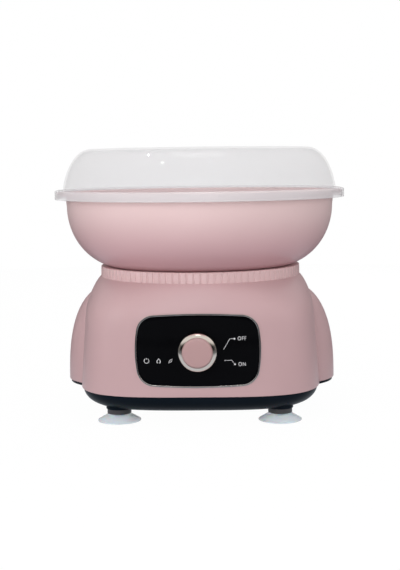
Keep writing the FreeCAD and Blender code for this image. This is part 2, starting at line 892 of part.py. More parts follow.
def ribbed_collar():
    spigot_outer = housing_mouth_radius - loose_gap
    spigot_inner = spigot_outer - spigot_wall
    seat_outer = housing_mouth_radius + seat_width
    shoulder = collar_radius - collar_taper
    well_outer = well_radius + well_wall
    outline = Profile(shaft_hole_radius, well_under)
    outline.line(well_outer, well_under)
    outline.line(well_outer, deck_under)
    outline.line(spigot_inner, deck_under)
    outline.line(spigot_inner, housing_top - spigot_height)
    outline.line(spigot_outer, housing_top - spigot_height)
    outline.line(spigot_outer, housing_top)
    outline.line(seat_outer, housing_top)
    outline.line(seat_outer, deck_under)
    outline.line(collar_radius - collar_wall, deck_under)
    outline.line(collar_radius - collar_wall, housing_top)
    outline.line(collar_radius, housing_top)
    outline.line(shoulder, collar_top - collar_round)
    outline.quarter(shoulder - collar_round, collar_top, False)
    outline.line(collar_lip_radius, collar_top)
    outline.line(collar_lip_radius, deck_top)
    outline.line(well_outer, deck_top)
    outline.line(well_outer, deck_top + well_rim_height)
    outline.line(well_radius, deck_top + well_rim_height)
    outline.line(well_radius, well_floor)
    outline.line(shaft_hole_radius, well_floor)
    added = []
    for place in on_circle(mount_circle, mount_count, 90):
        added.append(cylinder(mount_post_radius, damper_top, well_under + past, place))
    for place in on_circle(collar_screw_circle, collar_screw_count, 45):
        added.append(cylinder(collar_boss_radius, housing_top, deck_under + past, place))
    body = merge([outline.turned()] + added)
    body = body.common(ribbed_block(motor_top, lid_top))
    holes = []
    for place in on_circle(mount_circle, mount_count, 90):
        holes.append(cylinder(mount_screw_radius + running_gap, damper_top - past,
                              damper_top + mount_screw_bite + past, place))
    for place in on_circle(collar_screw_circle, collar_screw_count, 45):
        holes.append(cylinder(collar_screw_radius + running_gap, housing_top - past,
                              housing_top + collar_screw_bite + running_gap, place))
    for place in element_ends():
        holes.append(cylinder(element_leg_hole, well_under - past, well_floor + past, place))
    for place in on_circle(shield_screw_circle, mount_count, 30):
        holes.append(cylinder(shield_screw_radius + loose_gap, well_under - past,
                              well_floor + past, place))
    return without(body, holes)


def collar_screws():
    length = housing_wall + collar_screw_bite
    return Part.makeCompound([
        screw(collar_screw_radius, length, collar_screw_head_radius, collar_screw_head_height,
              ceiling - collar_screw_head_height, place)
        for place in on_circle(collar_screw_circle, collar_screw_count, 45)])


# ---- Heater ----

def element_ends():
    half = math.radians(element_gap_angle / 2)
    x = element_circle * math.cos(half)
    y = element_circle * math.sin(half)
    return [(x, y), (x, -y)]


def insulator_places():
    return on_circle(element_circle, insulator_count, 60)


def heat_shield():
    outer = well_radius - shield_play
    inner = outer - shield_thickness
    outline = Profile(shaft_hole_radius, well_floor)
    outline.line(outer, well_floor)
    outline.line(outer, well_floor + shield_height)
    outline.line(inner, well_floor + shield_height)
    outline.line(inner, shield_floor)
    outline.line(shaft_hole_radius, shield_floor)
    holes = []
    for place in element_ends():
        holes.append(cylinder(element_leg_hole, well_floor - past, shield_floor + past, place))
    for place in on_circle(shield_screw_circle, mount_count, 30):
        holes.append(cylinder(shield_screw_radius + loose_gap, well_floor - past,
                              shield_floor + past, place))
    return without(outline.turned(), holes)


def shield_screws():
    screws = []
    for place in on_circle(shield_screw_circle, mount_count, 30):
        head = cylinder(shield_screw_head_radius, shield_floor,
                        shield_floor + shield_screw_head_height, place)
        shank = cylinder(shield_screw_radius, well_under - past, shield_floor, place)
        screws.append(merge([head, shank]))
    return Part.makeCompound(screws)


def heating_ring():
    sweep = 360 - element_gap_angle
    ring = Part.makeTorus(element_circle, element_radius, at(0, 0, element_z), at(0, 0, 1),
                          0, 360, sweep)
    ring.rotate(at(0, 0, 0), at(0, 0, 1), element_gap_angle / 2)
    pieces = [ring]
    for x, y in element_ends():
        pieces.append(Part.makeSphere(element_radius, at(x, y, element_z)))
        pieces.append(cylinder(element_leg_radius, well_under - element_leg_reach, element_z,
                               (x, y)))
    return merge(pieces)


def heater_insulator(place):
    post = cylinder(insulator_radius, shield_floor, element_z, place)
    groove = Part.makeTorus(element_circle, element_radius + loose_gap, at(0, 0, element_z))
    return post.cut(groove)


def thermal_cutout():
    return box(cutout_length, cutout_width, cutout_height, well_under - cutout_height,
               (0, -cutout_place))


# ---- Motor ----

def motor_can():
    outline = Profile(bearing_radius + running_gap, bearing_low)
    outline.line(bearing_radius + motor_wall, bearing_low)
    outline.line(bearing_radius + motor_wall, motor_bottom)
    outline.line(motor_radius, motor_bottom)
    outline.line(motor_radius, motor_top)
    outline.line(motor_radius - motor_wall, motor_top)
    outline.line(motor_radius - motor_wall, motor_bottom + motor_wall)
    outline.line(bearing_radius + running_gap, motor_bottom + motor_wall)
    return outline.turned()


def plate_screw_places():
    return on_circle(plate_screw_circle, 2, 0)


def motor_end_plate():
    plate = tube(motor_radius, bearing_radius + running_gap, motor_top, plate_top)
    holes = []
    for place in plate_screw_places():
        hole_radius = plate_screw_radius + running_gap
        holes.append(cylinder(hole_radius, motor_top - past, plate_top + past, place))
    return without(plate, holes)


def motor_magnets():
    ring = tube(magnet_outer, magnet_inner, motor_top - armature_length - 2 * winding_overhang,
                motor_top - winding_overhang)
    half = math.radians(magnet_angle / 2)
    reach = motor_radius * 2
    wedge = Part.makePolygon([at(0, 0, 0), at(reach * math.cos(half), reach * math.sin(half), 0),
                              at(reach * math.cos(half), -reach * math.sin(half), 0),
                              at(0, 0, 0)])
    wedge = Part.Face(wedge).extrude(at(0, 0, motor_top))
    magnet = ring.common(wedge)
    return Part.makeCompound([magnet, turned_about_axis(magnet, 180)])


def bearing(low):
    return tube(bearing_radius, shaft_radius + running_gap, low, low + bearing_length)


def armature():
    top = motor_top - winding_overhang
    low = top - winding_overhang - armature_length
    winding_radius = armature_radius - winding_inset
    bore = shaft_radius + running_gap
    outline = Profile(bore, low)
    outline.line(winding_radius - winding_inset, low)
    outline.quarter(winding_radius, low + winding_overhang / 2, True)
    outline.line(winding_radius, low + winding_overhang)
    outline.line(armature_radius, low + winding_overhang)
    outline.line(armature_radius, top - winding_overhang)
    outline.line(winding_radius, top - winding_overhang)
    outline.line(winding_radius, top - winding_overhang / 2)
    outline.quarter(winding_radius - winding_inset, top, False)
    outline.line(bore, top)
    return outline.turned()


def commutator_low():
    return motor_bottom + motor_wall + past


def commutator():
    low = commutator_low()
    return tube(commutator_radius, shaft_radius + running_gap, low, low + commutator_length)


def carbon_brushes():
    inner = commutator_radius + brush_gap
    length = motor_radius - motor_wall - inner
    low = commutator_low() + (commutator_length - brush_width) / 2
    brush = box(brush_width, length, brush_width, low, (0, inner + length / 2))
    wall = cylinder(motor_radius - motor_wall - running_gap, low - past, low + 2 * brush_width)
    brush = brush.common(wall)
    return Part.makeCompound([brush, turned_about_axis(brush, 180)])


def drive_shaft():
    shaft = cylinder(shaft_radius, fan_bottom - shaft_below_fan, hub_top - shaft_below_hub_top)
    length = shaft_radius * 2 + 2 * past
    hole = Part.makeCylinder(pin_radius + running_gap, length, at(-length / 2, 0, pin_z),
                             at(1, 0, 0))
    return shaft.cut(hole)


def drive_pin():
    half = shaft_radius + pin_overhang
    return Part.makeCylinder(pin_radius, 2 * half, at(-half, 0, pin_z), at(1, 0, 0))


def cooling_fan():
    pieces = [cylinder(fan_hub_radius, fan_bottom, fan_top)]
    length = fan_radius - fan_hub_radius + past
    height = fan_height * math.cos(math.radians(fan_blade_tilt))
    blade = box(length, fan_blade_thickness, height, -height / 2,
                (fan_hub_radius - past + length / 2, 0))
    blade.rotate(at(0, 0, 0), at(1, 0, 0), fan_blade_tilt)
    blade.translate(at(0, 0, (fan_bottom + fan_top) / 2))
    for index in range(fan_blades):
        pieces.append(turned_about_axis(blade, 360 * index / fan_blades))
    fan = merge(pieces).common(cylinder(fan_radius, fan_bottom, fan_top))
    return fan.cut(cylinder(shaft_radius + running_gap, fan_bottom - past, fan_top + past))


def motor_bracket():
    pieces = [cylinder(motor_radius + bracket_rim, plate_top, bracket_top)]
    for place in on_circle(mount_circle, mount_count, 90):
        pieces.append(cylinder(bracket_ear_radius, plate_top, bracket_top, place))
    arm = box(mount_circle, 2 * bracket_ear_radius, bracket_thickness, plate_top,
              (mount_circle / 2, 0))
    for index in range(mount_count):
        pieces.append(turned_about_axis(arm, 90 + 360 * index / mount_count))
    holes = [cylinder(bracket_hole_radius, plate_top - past, bracket_top + past)]
    for place in on_circle(mount_circle, mount_count, 90):
        hole_radius = damper_neck_radius + loose_gap
        holes.append(cylinder(hole_radius, plate_top - past, bracket_top + past, place))
    for place in plate_screw_places():
        hole_radius = plate_screw_radius + loose_gap
        holes.append(cylinder(hole_radius, plate_top - past, bracket_top + past, place))
    return without(merge(pieces), holes)


def motor_damper(place):
    pieces = [
        cylinder(damper_radius, plate_top - damper_flange, plate_top, place),
        cylinder(damper_neck_radius, plate_top - past, bracket_top + past, place),
        cylinder(damper_radius, bracket_top, damper_top, place),
    ]
    bore = cylinder(mount_screw_radius + loose_gap, plate_top - damper_flange - past,
                    damper_top + past, place)
    return merge(pieces).cut(bore)


def mount_screws():
    head_low = plate_top - damper_flange - mount_screw_head_height
    length = damper_top - plate_top + damper_flange + mount_screw_bite
    return Part.makeCompound([
        screw(mount_screw_radius, length, mount_screw_head_radius, mount_screw_head_height,
              head_low, place)
        for place in on_circle(mount_circle, mount_count, 90)])


def plate_screws():
    screws = []
    for place in plate_screw_places():
        head = cylinder(plate_screw_head_radius, bracket_top,
                        bracket_top + plate_screw_head_height, place)
        shank = cylinder(plate_screw_radius, motor_top, bracket_top, place)
        screws.append(merge([head, shank]))
    return Part.makeCompound(screws)


# ---- Extractor head ----

def head_pan():
    hub_hole = hub_radius + running_gap
    band_inner = head_band_radius - head_wall
    outline = Profile(hub_hole, head_bottom)
    outline.line(head_floor_radius, head_bottom)
    outline.line(head_band_radius, band_low)
    outline.line(head_band_radius, band_top)
    outline.line(head_band_radius + head_flange_width, band_top)
    outline.line(head_band_radius + head_flange_width, cover_seat)
    outline.line(band_inner, cover_seat)
    outline.line(band_inner, band_low + head_wall / 2)
    outline.line(head_floor_radius - head_wall / 2, head_floor)
    outline.line(hub_hole, head_floor)
    slot_low = (band_low + band_top - slot_height) / 2
    slot = box(head_wall * 4, slot_width, slot_height, slot_low, (head_band_radius, 0))
    holes = []
    for index in range(slot_count):
        holes.append(turned_about_axis(slot, 360 * index / slot_count))
    for place in on_circle(rivet_circle, rivet_count, 90):
        holes.append(cylinder(rivet_radius + running_gap, head_bottom - past, head_floor + past,
                              place))
    return without(outline.turned(), holes)


def head_cover():
    outer = head_band_radius + head_flange_width
    shoulder = head_band_radius - head_wall
    mouth_z = cover_seat + cover_rise
    outline = Profile(outer, cover_seat)
    outline.line(outer, cover_seat + head_wall)
    outline.line(shoulder, cover_seat + head_wall)
    outline.line(cover_mouth_radius + head_wall, mouth_z)
    outline.line(cover_mouth_radius + head_wall, mouth_z + cover_lip_height)
    outline.line(cover_mouth_radius, mouth_z + cover_lip_height)
    outline.line(cover_mouth_radius, mouth_z - head_wall)
    outline.line(shoulder - head_wall, cover_seat)
    return outline.turned()


def head_hub():
    outline = Profile(shaft_radius + running_gap, hub_bottom)
    outline.line(hub_flange_radius, hub_bottom)
    outline.line(hub_flange_radius, head_bottom)
    outline.line(hub_radius, head_bottom)
    outline.line(hub_radius, hub_top)
    outline.line(shaft_radius + running_gap, hub_top)
    slot_top = pin_z + pin_radius + loose_gap
    slot_length = 2 * (shaft_radius + pin_overhang + loose_gap)
    slot = box(slot_length, 2 * (pin_radius + loose_gap), slot_top - hub_bottom + past,
               hub_bottom - past)
    holes = [slot]
    for place in on_circle(rivet_circle, rivet_count, 90):
        holes.append(cylinder(rivet_radius + running_gap, hub_bottom - past, head_bottom + past,
                              place))
    return without(outline.turned(), holes)


def head_rivets():
    rivets = []
    for place in on_circle(rivet_circle, rivet_count, 90):
        rivets.append(merge([
            cylinder(rivet_head_radius, hub_bottom - rivet_head_height, hub_bottom, place),
            cylinder(rivet_radius, hub_bottom - rivet_head_height, head_floor, place),
            cylinder(rivet_head_radius, head_floor, head_floor + rivet_head_height, place),
        ]))
    return Part.makeCompound(rivets)


# ---- Bowl and lid ----

def floss_bowl():
    curve_top = bowl_bottom + bowl_curve_height
    inner_rim = bowl_rim_radius - bowl_wall
    dam_outer = dam_inner + bowl_wall
    outline = Profile(dam_inner, bowl_bottom)
    outline.line(bowl_floor_radius, bowl_bottom)
    outline.quarter(bowl_rim_radius - bowl_draft, curve_top, True)
    outline.line(bowl_rim_radius, bowl_rim - bowl_lip_thickness)
    outline.line(bowl_lip_radius, bowl_rim - bowl_lip_thickness)
    outline.line(bowl_lip_radius, bowl_rim)
    outline.line(inner_rim, bowl_rim)
    outline.line(inner_rim - bowl_draft, curve_top)
    outline.quarter(bowl_floor_radius, bowl_bottom + bowl_wall, False)
    outline.line(dam_outer, bowl_bottom + bowl_wall)
    outline.line(dam_outer, bowl_bottom + bowl_dam_height)
    outline.line(dam_inner, bowl_bottom + bowl_dam_height)
    return outline.turned()


def lid():
    skirt_low = bowl_rim - lid_skirt_drop
    centre = at(lid_top_radius, 0, lid_curve_centre)
    outer, outer_radius = falling_arc(centre, lid_curve_width, lid_curve_height, lid_shelf)
    inner, inner_radius = falling_arc(centre, lid_curve_width - lid_wall,
                                      lid_curve_height - lid_wall, lid_shelf)
    outline = Profile(0, lid_top)
    outline.line(lid_top_radius, lid_top)
    outline.follow(outer, outer_radius, lid_shelf)
    outline.line(skirt_outer - lid_flange_round, lid_shelf)
    outline.quarter(skirt_outer, lid_shelf - lid_flange_round, True)
    outline.line(skirt_outer, skirt_low)
    outline.line(skirt_inner, skirt_low)
    outline.line(skirt_inner, lid_seat)
    outline.line(inner_radius, lid_seat)
    outline.line(inner_radius, lid_shelf)
    outline.follow(inner, lid_top_radius, lid_top - lid_wall)
    outline.line(0, lid_top - lid_wall)
    return outline.turned()


# ---- Cord inlet and wiring ----

def cord_grommet():
    flange_back = loose_gap + lean(grommet_flange_radius)
    body = merge([
        inlet_rod(grommet_radius, -housing_wall - grommet_reach, 0),
        inlet_rod(grommet_flange_radius, flange_back, flange_back + grommet_flange),
        inlet_rod(grommet_radius, -past, flange_back + grommet_flange),
    ])
    return body.cut(inlet_rod(grommet_bore, -housing_wall - grommet_reach - past,
                              flange_back + grommet_flange + past))


def terminal_block():
    return box(terminal_width, terminal_depth, terminal_height, pan_inside, (0, terminal_back))


# ---- Every node and its shape ----

nodes = {
    "upper_housing": upper_housing(),
    "bottom_pan": bottom_pan(),
    "base_screws": base_screws(),
    "foot_nuts": foot_nuts(),
    "control_panel": control_panel(),
    "panel_bezel": panel_bezel(),
    "indicator_board": indicator_board(),
    "indicator_lamps": indicator_lamps(),
    "board_screws": board_screws(),
    "rotary_switch": rotary_switch(),
    "switch_nut": switch_nut(),
    "switch_shaft": switch_shaft(),
    "knob_ring": knob_ring(),
    "knob_cap": knob_cap(),
    "ribbed_collar": ribbed_collar(),
    "collar_screws": collar_screws(),
    "heat_shield": heat_shield(),
    "shield_screws": shield_screws(),
    "heating_ring": heating_ring(),
    "thermal_cutout": thermal_cutout(),
    "motor_can": motor_can(),
    "motor_end_plate": motor_end_plate(),
    "motor_magnets": motor_magnets(),
    "upper_bearing": bearing(motor_top),
    "lower_bearing": bearing(bearing_low),
    "carbon_brushes": carbon_brushes(),
    "motor_bracket": motor_bracket(),
    "mount_screws": mount_screws(),
    "plate_screws": plate_screws(),
    "armature": armature(),
    "commutator": commutator(),
    "drive_shaft": drive_shaft(),
    "drive_pin": drive_pin(),
    "cooling_fan": cooling_fan(),
    "head_pan": head_pan(),
    "head_cover": head_cover(),
    "head_hub": head_hub(),
    "head_rivets": head_rivets(),
    "floss_bowl": floss_bowl(),
    "lid": lid(),
    "cord_grommet": cord_grommet(),
    "terminal_block": terminal_block(),
}

foot_names = ("front_left", "front_right", "back_left", "back_right")
for name, place in zip(foot_names, four_places(foot_x, foot_y)):
    nodes["foot_stem_" + name] = foot_stem(place)
    nodes["suction_cup_" + name] = suction_cup(place)

for name, x in zip(("left", "middle", "right"), window_places):
    nodes["icon_window_" + name] = icon_window(x)

for name, place in zip(("a", "b", "c"), insulator_places()):
    nodes["heater_insulator_" + name] = heater_insulator(place)

for name, place in zip(("a", "b", "c"), on_circle(mount_circle, mount_count, 90)):
    nodes["motor_damper_" + name] = motor_damper(place)

os.makedirs("parts", exist_ok=True)
for name, shape in nodes.items():
    shape.exportStep("parts/" + name + ".step")
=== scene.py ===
import math

import bpy
from mathutils import Euler, Matrix, Vector


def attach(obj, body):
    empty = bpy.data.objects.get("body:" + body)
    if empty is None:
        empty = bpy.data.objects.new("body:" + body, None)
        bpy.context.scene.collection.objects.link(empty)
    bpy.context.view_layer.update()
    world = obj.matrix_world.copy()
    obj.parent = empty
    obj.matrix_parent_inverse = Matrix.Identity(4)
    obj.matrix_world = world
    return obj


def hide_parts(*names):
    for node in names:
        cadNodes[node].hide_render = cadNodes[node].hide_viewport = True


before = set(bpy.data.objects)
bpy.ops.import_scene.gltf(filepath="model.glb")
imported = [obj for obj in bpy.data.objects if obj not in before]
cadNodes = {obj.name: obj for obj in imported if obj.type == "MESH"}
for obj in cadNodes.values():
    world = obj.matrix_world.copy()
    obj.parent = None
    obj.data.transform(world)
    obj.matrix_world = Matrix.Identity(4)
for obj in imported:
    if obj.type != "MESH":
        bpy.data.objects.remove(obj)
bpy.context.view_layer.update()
mm = 0.001

# how points are joined, poles closed and edges smoothed, in millimetres and degrees
meshCare = {
    "join": 0.005, "joinFine": 0.002, "poleRadius": 0.01, "poleReach": 0.02, "poleJoin": 0.05,
    "smoothAngle": 35, "edgeAngle": 38, "edgeSegments": 3,
}


def boxOf(node):
    # the lowest and the highest corner of a CAD node, in millimetres
    piece = cadNodes[node]
    corners = [piece.matrix_world @ Vector(corner) for corner in piece.bound_box]
    low = [round(min(corner[axis] for corner in corners) / mm, 3) for axis in range(3)]
    high = [round(max(corner[axis] for corner in corners) / mm, 3) for axis in range(3)]
    return low, high


def middleOf(node):
    low, high = boxOf(node)
    return [round((least + most) / 2, 1) for least, most in zip(low, high)]


def radiusOf(node):
    # of a round node, from its middle to its farthest point on the right
    return round(boxOf(node)[1][0] - middleOf(node)[0], 2)


def clearSelection():
    if bpy.context.object and bpy.context.object.mode != "OBJECT":
        bpy.ops.object.mode_set(mode="OBJECT")
    bpy.ops.object.select_all(action="DESELECT")


def pick(piece):
    clearSelection()
    piece.select_set(True)
    bpy.context.view_layer.objects.active = piece


def nameIt(piece, name):
    piece.name = name
    piece.data.name = name
    return piece


def settle(piece):
    # leaves the piece at the origin, unturned, with its place in its mesh
    pick(piece)
    bpy.ops.object.transform_apply(location=True, rotation=True, scale=True)
    return piece


def applyAll(piece):
    pick(piece)
    for modifier in list(piece.modifiers):
        bpy.ops.object.modifier_apply(modifier=modifier.name)
    return piece


def joinDoubles(piece, distance, faceOut=False):
    pick(piece)
    bpy.ops.object.mode_set(mode="EDIT")
    bpy.ops.mesh.select_all(action="SELECT")
    bpy.ops.mesh.remove_doubles(threshold=distance * mm)
    if faceOut:
        bpy.ops.mesh.normals_make_consistent(inside=False)
    bpy.ops.object.mode_set(mode="OBJECT")


def tidyMesh(piece, angle=meshCare["smoothAngle"]):
    joinDoubles(piece, meshCare["join"], faceOut=True)
    bpy.ops.object.shade_smooth_by_angle(angle=math.radians(angle))
    return piece


def softenEdges(piece, width, segments=meshCare["edgeSegments"], angle=meshCare["edgeAngle"]):
    bevel = piece.modifiers.new("softEdges", "BEVEL")
    bevel.width = width * mm
    bevel.segments = segments
    bevel.limit_method = "ANGLE"
    bevel.angle_limit = math.radians(angle)
    bevel.harden_normals = False
    return applyAll(piece)


def paint(piece, material):
    piece.data.materials.clear()
    piece.data.materials.append(material)
    return piece


def copyOf(piece, name):
    # a copy with its own mesh
    copy = piece.copy()
    copy.data = piece.data.copy()
    bpy.context.scene.collection.objects.link(copy)
    return nameIt(copy, name)


def copyTo(piece, name, x, y):
    copy = copyOf(piece, name)
    copy.location = (x * mm, y * mm, 0)
    return settle(copy)


def smoothCopy(node, name, angle):
    # the CAD node's own shape with its loose triangles joined, so that it shades smoothly
    copy = copyOf(cadNodes[node], name)
    copy.parent = None
    pick(copy)
    if copy.data.has_custom_normals:
        bpy.ops.mesh.customdata_custom_splitnormals_clear()
    joinDoubles(copy, meshCare["joinFine"])
    bpy.ops.object.shade_smooth_by_angle(angle=math.radians(angle))
    return copy


def quarter(startRadius, startHeight, endRadius, endHeight, levelFirst, steps):
    # rings along a quarter ellipse, without its first one
    rings = []
    for step in range(1, steps + 1):
        turn = math.pi / 2 * step / steps
        if levelFirst:
            radius = startRadius + (endRadius - startRadius) * math.sin(turn)
            height = endHeight + (startHeight - endHeight) * math.cos(turn)
        else:
            radius = endRadius + (startRadius - endRadius) * math.cos(turn)
            height = startHeight + (endHeight - startHeight) * math.sin(turn)
        rings.append((radius, height))
    return rings


def fallingArc(centreRadius, centreHeight, halfWidth, halfHeight, low, steps):
    # rings along a tall ellipse from its top down to the height low, without the first
    fall = math.acos((low - centreHeight) / halfHeight)
    rings = []
    for step in range(1, steps + 1):
        turn = fall * step / steps
        rings.append((centreRadius + halfWidth * math.sin(turn),
                      centreHeight + halfHeight * math.cos(turn)))
    return rings


def turned(name, rings, segments):
    # one ring, extruded and scaled from place to place, as on a lathe; millimetres
    rings = [(max(radius, meshCare["poleRadius"]), height) for radius, height in rings]
    radius, height = rings[0]
    clearSelection()
    bpy.ops.mesh.primitive_circle_add(vertices=segments, radius=radius * mm,
                                      location=(0, 0, height * mm), fill_type="NOTHING")
    piece = nameIt(bpy.context.object, name)
    bpy.ops.object.transform_apply(location=True)
    bpy.ops.object.mode_set(mode="EDIT")
    bpy.ops.mesh.select_all(action="SELECT")
    for nextRadius, nextHeight in rings[1:]:
        bpy.ops.mesh.extrude_region_move(
            TRANSFORM_OT_translate={"value": (0, 0, (nextHeight - height) * mm)})
        ratio = nextRadius / radius
        bpy.ops.transform.resize(value=(ratio, ratio, 1),
                                 center_override=(0, 0, nextHeight * mm))
        radius, height = nextRadius, nextHeight
    bpy.ops.object.mode_set(mode="OBJECT")
    closePoles(piece)
    return tidyMesh(piece)


def closePoles(piece):
    # the tiny rings on the axis become single points
    pick(piece)
    bpy.ops.object.mode_set(mode="EDIT")
    bpy.ops.mesh.select_all(action="DESELECT")
    bpy.ops.object.mode_set(mode="OBJECT")
    for vertex in piece.data.vertices:
        vertex.select = math.hypot(vertex.co.x, vertex.co.y) < meshCare["poleReach"] * mm
    bpy.ops.object.mode_set(mode="EDIT")
    bpy.ops.mesh.remove_doubles(threshold=meshCare["poleJoin"] * mm)
    bpy.ops.object.mode_set(mode="OBJECT")


def faceForward(piece, x, y, z):
    # what was turned about +Z now faces the front, with its zero height at y
    piece.rotation_euler = (math.radians(90), 0, 0)
    piece.location = (x * mm, y * mm, z * mm)
    return settle(piece)


# how every finish drifts in tone and how deep its grain is; depths in millimetres
grainLook = {
    "driftScale": 14, "driftDetail": 3, "grainDetail": 4, "reliefDepth": 0.05,
    "noiseLow": 0.3, "noiseHigh": 0.7,    # most values of a noise lie between these
    "ringDistortion": 1.5, "ringDetail": 2, "ringDepth": 0.02,
}


def newMaterial(name):
    material = bpy.data.materials.new(name)
    material.use_nodes = True
    return material, material.node_tree.nodes, material.node_tree.links


def feed(links, value, socket):
    # a socket takes another node's output or a plain value
    if isinstance(value, bpy.types.NodeSocket):
        links.new(value, socket)
    else:
        socket.default_value = value


def noiseOn(nodes, links, scale, detail, stretch=(1, 1, 1)):
    place = nodes.new("ShaderNodeTexCoord")
    mapping = nodes.new("ShaderNodeMapping")
    mapping.inputs["Scale"].default_value = stretch
    noise = nodes.new("ShaderNodeTexNoise")
    noise.inputs["Scale"].default_value = scale
    noise.inputs["Detail"].default_value = detail
    links.new(place.outputs["Object"], mapping.inputs["Vector"])
    links.new(mapping.outputs["Vector"], noise.inputs["Vector"])
    return noise.outputs["Fac"]


def remapped(nodes, links, source, start, end, low=0, high=1, smooth=False):
    # what runs from start to end runs from low to high afterwards
    spread = nodes.new("ShaderNodeMapRange")
    if smooth:
        spread.interpolation_type = "SMOOTHSTEP"
    spread.inputs["From Min"].default_value = start
    spread.inputs["From Max"].default_value = end
    spread.inputs["To Min"].default_value = low
    spread.inputs["To Max"].default_value = high
    links.new(source, spread.inputs["Value"])
    return spread.outputs["Result"]


def ranged(nodes, links, noise, low=0, high=1):
    return remapped(nodes, links, noise, grainLook["noiseLow"], grainLook["noiseHigh"], low, high)


def mixed(nodes, links, kind, factor, first, second, blend="MIX"):
    mix = nodes.new("ShaderNodeMix")
    mix.data_type = kind
    mix.blend_type = blend
    feed(links, factor, mix.inputs["Factor"])
    feed(links, first, mix.inputs["A"])
    feed(links, second, mix.inputs["B"])
    return mix.outputs["Result"]


def reliefOf(nodes, links, source, strength, depth):
    bump = nodes.new("ShaderNodeBump")
    bump.inputs["Strength"].default_value = strength
    bump.inputs["Distance"].default_value = depth * mm
    links.new(source, bump.inputs["Height"])
    return bump


def heightOf(nodes, links):
    place = nodes.new("ShaderNodeTexCoord")
    split = nodes.new("ShaderNodeSeparateXYZ")
    links.new(place.outputs["Object"], split.inputs[0])
    return split.outputs["Z"]


def paintedShadeBelow(nodes, links, colour, look):
    # painted shade: the colour darkens and deepens towards the bottom, where the bowl turns down
    # away from the lamps
    depth = remapped(nodes, links, heightOf(nodes, links), look["paintedShadeTop"] * mm,
                     look["paintedShadeBottom"] * mm, smooth=True)
    return mixed(nodes, links, "RGBA", depth, colour, (*look["paintedShadeTint"], 1), "MULTIPLY")


def finish(name, look):
    # colour that drifts between two tones, roughness that varies, and a fine grain in relief
    material, nodes, links = newMaterial(name)
    shader = nodes["Principled BSDF"]
    drift = noiseOn(nodes, links, look.get("driftScale", grainLook["driftScale"]),
                    grainLook["driftDetail"])
    colour = mixed(nodes, links, "RGBA", ranged(nodes, links, drift), (*look["colour"], 1),
                   (*look["shade"], 1))
    # a look with a painted shade tint darkens towards the bottom
    if "paintedShadeTint" in look:
        colour = paintedShadeBelow(nodes, links, colour, look)
    links.new(colour, shader.inputs["Base Color"])
    grain = noiseOn(nodes, links, look["grainScale"], grainLook["grainDetail"],
                    look.get("stretch", (1, 1, 1)))
    links.new(ranged(nodes, links, grain, *look["roughness"]), shader.inputs["Roughness"])
    bump = reliefOf(nodes, links, grain, look["relief"], grainLook["reliefDepth"])
    links.new(bump.outputs["Normal"], shader.inputs["Normal"])
    for socket, value in look.get("sockets", {}).items():
        shader.inputs[socket].default_value = value
    return material


def spunFinish(name, look):
    # circular tool marks about the spindle, as on spun or turned metal
    material = finish(name, look)
    nodes, links = material.node_tree.nodes, material.node_tree.links
    place = nodes.new("ShaderNodeTexCoord")
    rings = nodes.new("ShaderNodeTexWave")
    rings.wave_type = "RINGS"
    rings.rings_direction = "Z"
    rings.inputs["Scale"].default_value = look["ringScale"]
    rings.inputs["Distortion"].default_value = grainLook["ringDistortion"]
    rings.inputs["Detail"].default_value = grainLook["ringDetail"]
    links.new(place.outputs["Object"], rings.inputs["Vector"])
    marks = reliefOf(nodes, links, rings.outputs["Fac"], look["ringRelief"],
                     grainLook["ringDepth"])
    links.new(nodes["Bump"].outputs["Normal"], marks.inputs["Normal"])
    links.new(marks.outputs["Normal"], nodes["Principled BSDF"].inputs["Normal"])
    return material


